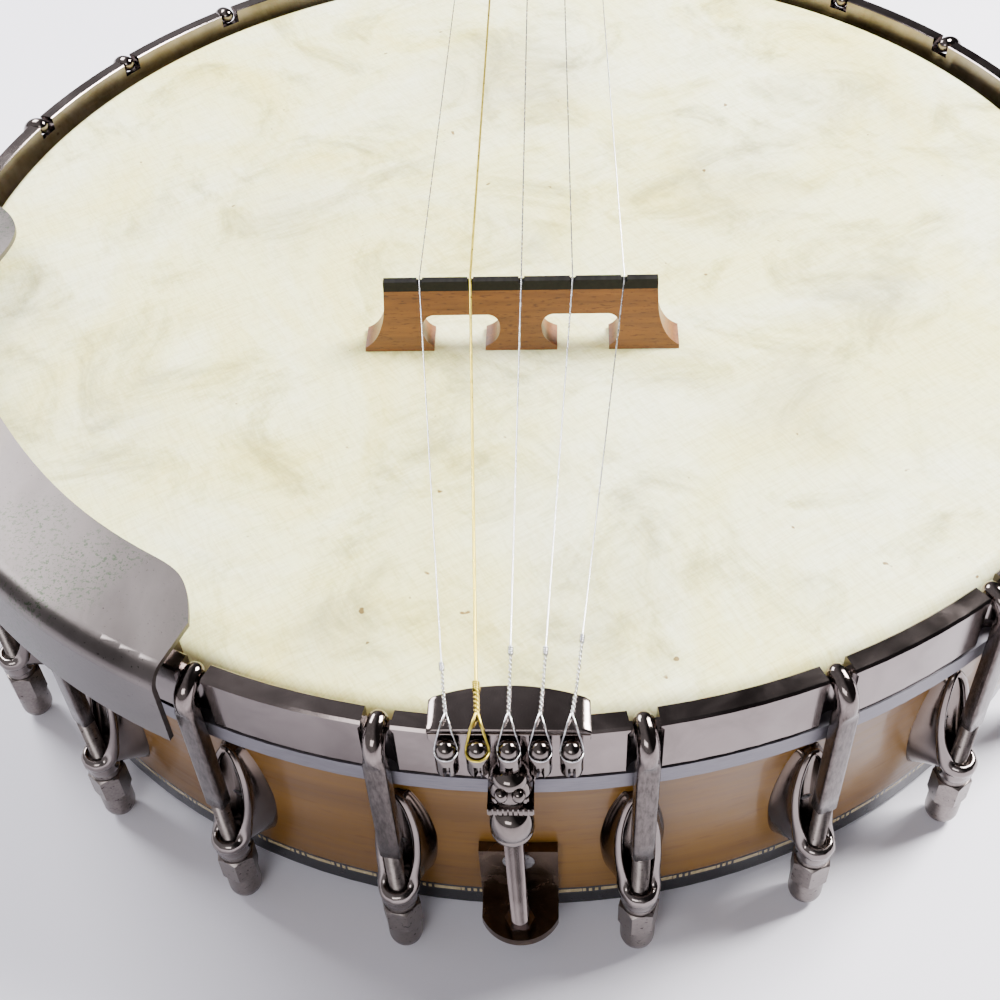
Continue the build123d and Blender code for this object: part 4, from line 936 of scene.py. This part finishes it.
def make_tail_boss(materials):
    """The cast ornament under the middle post, on its comb-edged ledge, and the cup below."""
    boss = Build()
    boss_y = tail_back - 2.0
    lathe(boss, [(0, 71.4), (1.8, 71.2), (2.9, 70.4), (3.4, 69.2), (3.0, 68.3), (3.4, 67.6),
                 (3.9, 66.4), (3.7, 65.0), (3.0, 64.2), (3.6, 63.4), (3.6, 62.0), (0, 62.0)],
          (0, boss_y), 36)
    for side in (-1, 1):
        lathe(boss, [(0, 69.0), (0.8, 68.8), (1.25, 68.0), (1.2, 66.8), (0.7, 66.1), (0, 65.9)],
              (side * 1.5, boss_y - 3.0), 18)
        lathe(boss, [(0, 66.2), (0.6, 66.0), (0.85, 65.2), (0.5, 64.5), (0, 64.4)],
              (side * 2.6, boss_y - 2.4), 14)
    ledge_y = boss_y - 4.0
    for index in range(9):
        x = -3.6 + 0.9 * index
        boss.skin([[(x - 0.30, ledge_y + y, z), (x + 0.30, ledge_y + y, z),
                    (x + 0.30, boss_y, z), (x - 0.30, boss_y, z)]
                   for y, z in ((0.25, 62.3), (0.0, 62.5), (0.0, 63.5), (0.25, 63.8))],
                  cap_start=True, cap_end=True)
    boss.skin([[(-4.1, ledge_y + 0.3, z), (4.1, ledge_y + 0.3, z), (4.1, boss_y + 2, z),
                (-4.1, boss_y + 2, z)] for z in (62.2, 63.9)], cap_start=True, cap_end=True)
    boss.object("tail_boss", materials["polished"], sharp=50)

    cup = Build()
    profile = [(0, 53.6), (1.9, 53.0), (2.6, 53.1), (3.4, 53.9), (3.95, 54.9), (4.0, 55.5),
               (3.82, 55.8), (4.0, 56.2), (4.08, 57.4), (3.95, 58.8), (3.5, 60.3), (2.6, 61.6),
               (0, 62.3)]
    lathe(cup, profile, (0, -reach_of_cup()), 40)
    cup.object("tail_cup", materials["polished"], sharp=60)


def reach_of_cup():
    """How far in front of the pot's axis the hanger bolt's top stands, in millimetres."""
    return -low("tailpiece_hanger_bolt", "y") / MM - HANGER_RADIUS


def make_hanger_thread(materials):
    """The hanger bolt with its thread, on the CAD bolt's own axis."""
    box_low, box_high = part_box("tailpiece_hanger_bolt")
    top = Vector((0, -reach_of_cup(), box_high.z / MM))
    foot = Vector((0, box_high.y / MM - HANGER_RADIUS, box_low.z / MM + 0.2))
    build = Build()
    threaded_rod(build, foot, top - foot, 0.62, 1.62, 0.24)
    build.object("hanger_thread", materials["nickel"],
                 stands_for=["tailpiece_hanger_bolt"], sharp=18)


# ---------------------------------------------------------------- strings
def string_route(index):
    """The string's CAD solid, read back as the middle of its points at a few places."""
    mesh = nodes[f"string_{index + 1}"].data
    spans = {}
    for vertex in mesh.vertices:
        spans.setdefault(round(vertex.co.y / MM / 0.4), []).append(vertex.co / MM)
    return [sum(spans[key], Vector()) / len(spans[key]) for key in sorted(spans)]


def helix(start, end, radius, pitch, phase, steps=12):
    """Points of a helix round the line from start to end."""
    run = end - start
    direction = run.normalized()
    side = direction.cross(Vector((0, 0, 1))).normalized()
    up = side.cross(direction)
    count = max(int(run.length / pitch * steps), 2)
    points = []
    for step in range(count + 1):
        part = step / count
        angle = phase + 2 * math.pi * run.length * part / pitch
        points.append(start + run * part + side * radius * math.cos(angle)
                      + up * radius * math.sin(angle))
    return points


# For each string: the radius of its wire, and the y where its twisted loop end stops.
STRING_RADII = [0.15, 0.17, 0.19, 0.30, 0.15]
TWIST_ENDS = [-128.8, -131.4, -131.4, -138.6, -134.7]
TWIST_PITCH = 1.9


def make_strings(materials):
    """Each string: its plain run, a twisted loop end with a small wrap, and its loop."""
    bridge_y = (low("bridge_cap", "y") + high("bridge_cap", "y")) / 2 / MM
    for index in range(5):
        radius = STRING_RADII[index]
        is_wound = index == 3
        slot = "wound_bronze" if is_wound else "string_steel"
        route = string_route(index)
        tail = route[0]
        bridge_point = min(route, key=lambda p: abs(p.y - bridge_y))
        # Where the string leaves the plate's front edge for the bridge.
        edge = [p for p in route if -138.5 < p.y < -136.0][0]
        twist_end_y = TWIST_ENDS[index]
        part = (twist_end_y - edge.y) / (bridge_point.y - edge.y)
        twist_end = edge + (bridge_point - edge) * max(part, 0.0)
        if twist_end_y < edge.y:
            twist_end = tail + (edge - tail) * ((twist_end_y - tail.y) / (edge.y - tail.y))
        start = Vector((tail.x, tail.y + 2.0, tail.z + 0.35))
        build = Build()
        plain = [twist_end] + [p for p in route if p.y > max(twist_end.y, edge.y) + 0.5]
        tube(build, plain, radius, sides=10)
        strand = 0.24 if is_wound else 0.15
        coil = 0.30 if is_wound else 0.20
        lift = Vector((0, 0, 0.25))
        stops = [start, edge + lift, twist_end] if twist_end_y > edge.y else [start, twist_end]
        for phase in (0.0, math.pi):
            points = []
            turned = phase
            for a, b in zip(stops, stops[1:]):
                points += helix(a, b, coil, TWIST_PITCH, turned)
                turned += 2 * math.pi * (b - a).length / TWIST_PITCH
            tube(build, points, strand)
        wrap_end = twist_end + (bridge_point - twist_end).normalized() * 1.5
        tube(build, helix(twist_end, wrap_end, radius + 0.20, 0.42, 0.0, 14), 0.2)
        neck = Vector((FIRST_POST + POST_STEP * (4 - index), tail_back - 1.5, 75.85))
        loop = [start + Vector((-0.12, 0.3, 0.1)), start + Vector((-0.55, -1.2, 0.15)),
                start + Vector((-1.15, -2.9, -0.7)), neck + Vector((-1.95, 0.4, 0.4))]
        loop += [neck + Vector((1.98 * math.cos(a), 1.98 * math.sin(a), -0.15)) for a in
                 (math.radians(180 + 15 * step) for step in range(13))]
        loop += [neck + Vector((1.95, 0.4, 0.4)), start + Vector((1.15, -2.9, -0.7)),
                 start + Vector((0.55, -1.2, 0.15)), start + Vector((0.12, 0.3, 0.1))]
        tube(build, loop, strand)
        build.object(f"string_{index + 1}_wire", materials[slot],
                     stands_for=[f"string_{index + 1}"], sharp=60)


def make_string_coils(materials):
    """The turns of each string on its peg; they turn with the peg."""
    hinges = {joint["child"]: joint for joint in frame["joints"] if joint["type"] == "hinge"}
    for number in range(1, 6):
        hinge = hinges[f"peg_{number}"]
        axis = Vector(hinge["axis"]).normalized()
        centre = Vector(hinge["pos_m"]) / MM
        # Along the axis from the joint: the fifth peg's axis points into the neck.
        middle = -5.2 if number == 5 else 7.5
        wound = number == 4
        radius = 0.26 if wound else 0.15
        turns, steps = 4, 96
        start = centre + axis * (middle - turns * radius)
        end = centre + axis * (middle + turns * radius)
        build = Build()
        side = axis.cross(Vector((0, 1, 0.3))).normalized()
        up = side.cross(axis)
        points = []
        for step in range(steps + 1):
            part = step / steps
            angle = 2 * math.pi * turns * part
            points.append(start + (end - start) * part
                          + (side * math.cos(angle) + up * math.sin(angle)) * (3.2 + radius))
        tube(build, points, radius)
        slot = "wound_bronze" if wound else "string_steel"
        build.object(f"peg_{number}_coil", materials[slot], body=f"peg_{number}")


# ---------------------------------------------------------------- carried-over CAD pieces
BEVELS = {
    "bridge_body": 0.35, "bridge_cap": 0.2, "tailpiece_bracket": 0.35, "armrest": 0.3,
    "armrest_clamps": 0.5, "tension_hoop": 0.35, "rim_binding": 0.3, "neck": 0.8,
    "peghead_overlay": 0.35, "fingerboard": 0.25, "string_nut": 0.3, "heel_cap": 0.3,
    "truss_rod_cover": 0.3, "flesh_hoop": 0.25, "tailpiece_hanger_nuts": 0.15,
    "coordinator_rod": 0.2, "pot_rod_nuts": 0.3, "shoe_bolts": 0.3, "bracket_nuts": 0.12,
    "fifth_string_pip": 0.3,
}


def dress_cad_nodes(materials):
    """Gives every CAD node its material, and soft edges to those listed in BEVELS."""
    slots = {entry["node"]: entry["material_slot"] for entry in frame["record"]["subparts"]}
    special = {"neck": "neck_maple", "bracket_nuts": "worn_nickel",
               "tailpiece_bracket": "aged_nickel"}
    for name, made in nodes.items():
        material = materials[special.get(name, slots[name])]
        made.data.materials.clear()
        made.data.materials.append(material)
        if name in BEVELS:
            bevel(made, BEVELS[name])


def make_floor():
    """A wide flat floor, as a stage and not part of the banjo."""
    mesh = bpy.data.meshes.new("floor")
    size = 4.0
    mesh.from_pydata([(-size, -size, 0), (size, -size, 0), (size, size, 0), (-size, size, 0)],
                     [], [(0, 1, 2, 3)])
    floor = bpy.data.objects.new("floor", mesh)
    bpy.context.scene.collection.objects.link(floor)
    mesh.materials.append(make_floor_paper())


def main():
    place_camera()
    light_studio()
    make_floor()
    materials = make_materials()
    dress_cad_nodes(materials)
    make_head(materials)
    make_hooks(materials)
    make_shoes(materials)
    make_tail_plate(materials)
    make_tail_posts(materials)
    make_tail_boss(materials)
    make_hanger_thread(materials)
    make_strings(materials)
    make_string_coils(materials)


main()
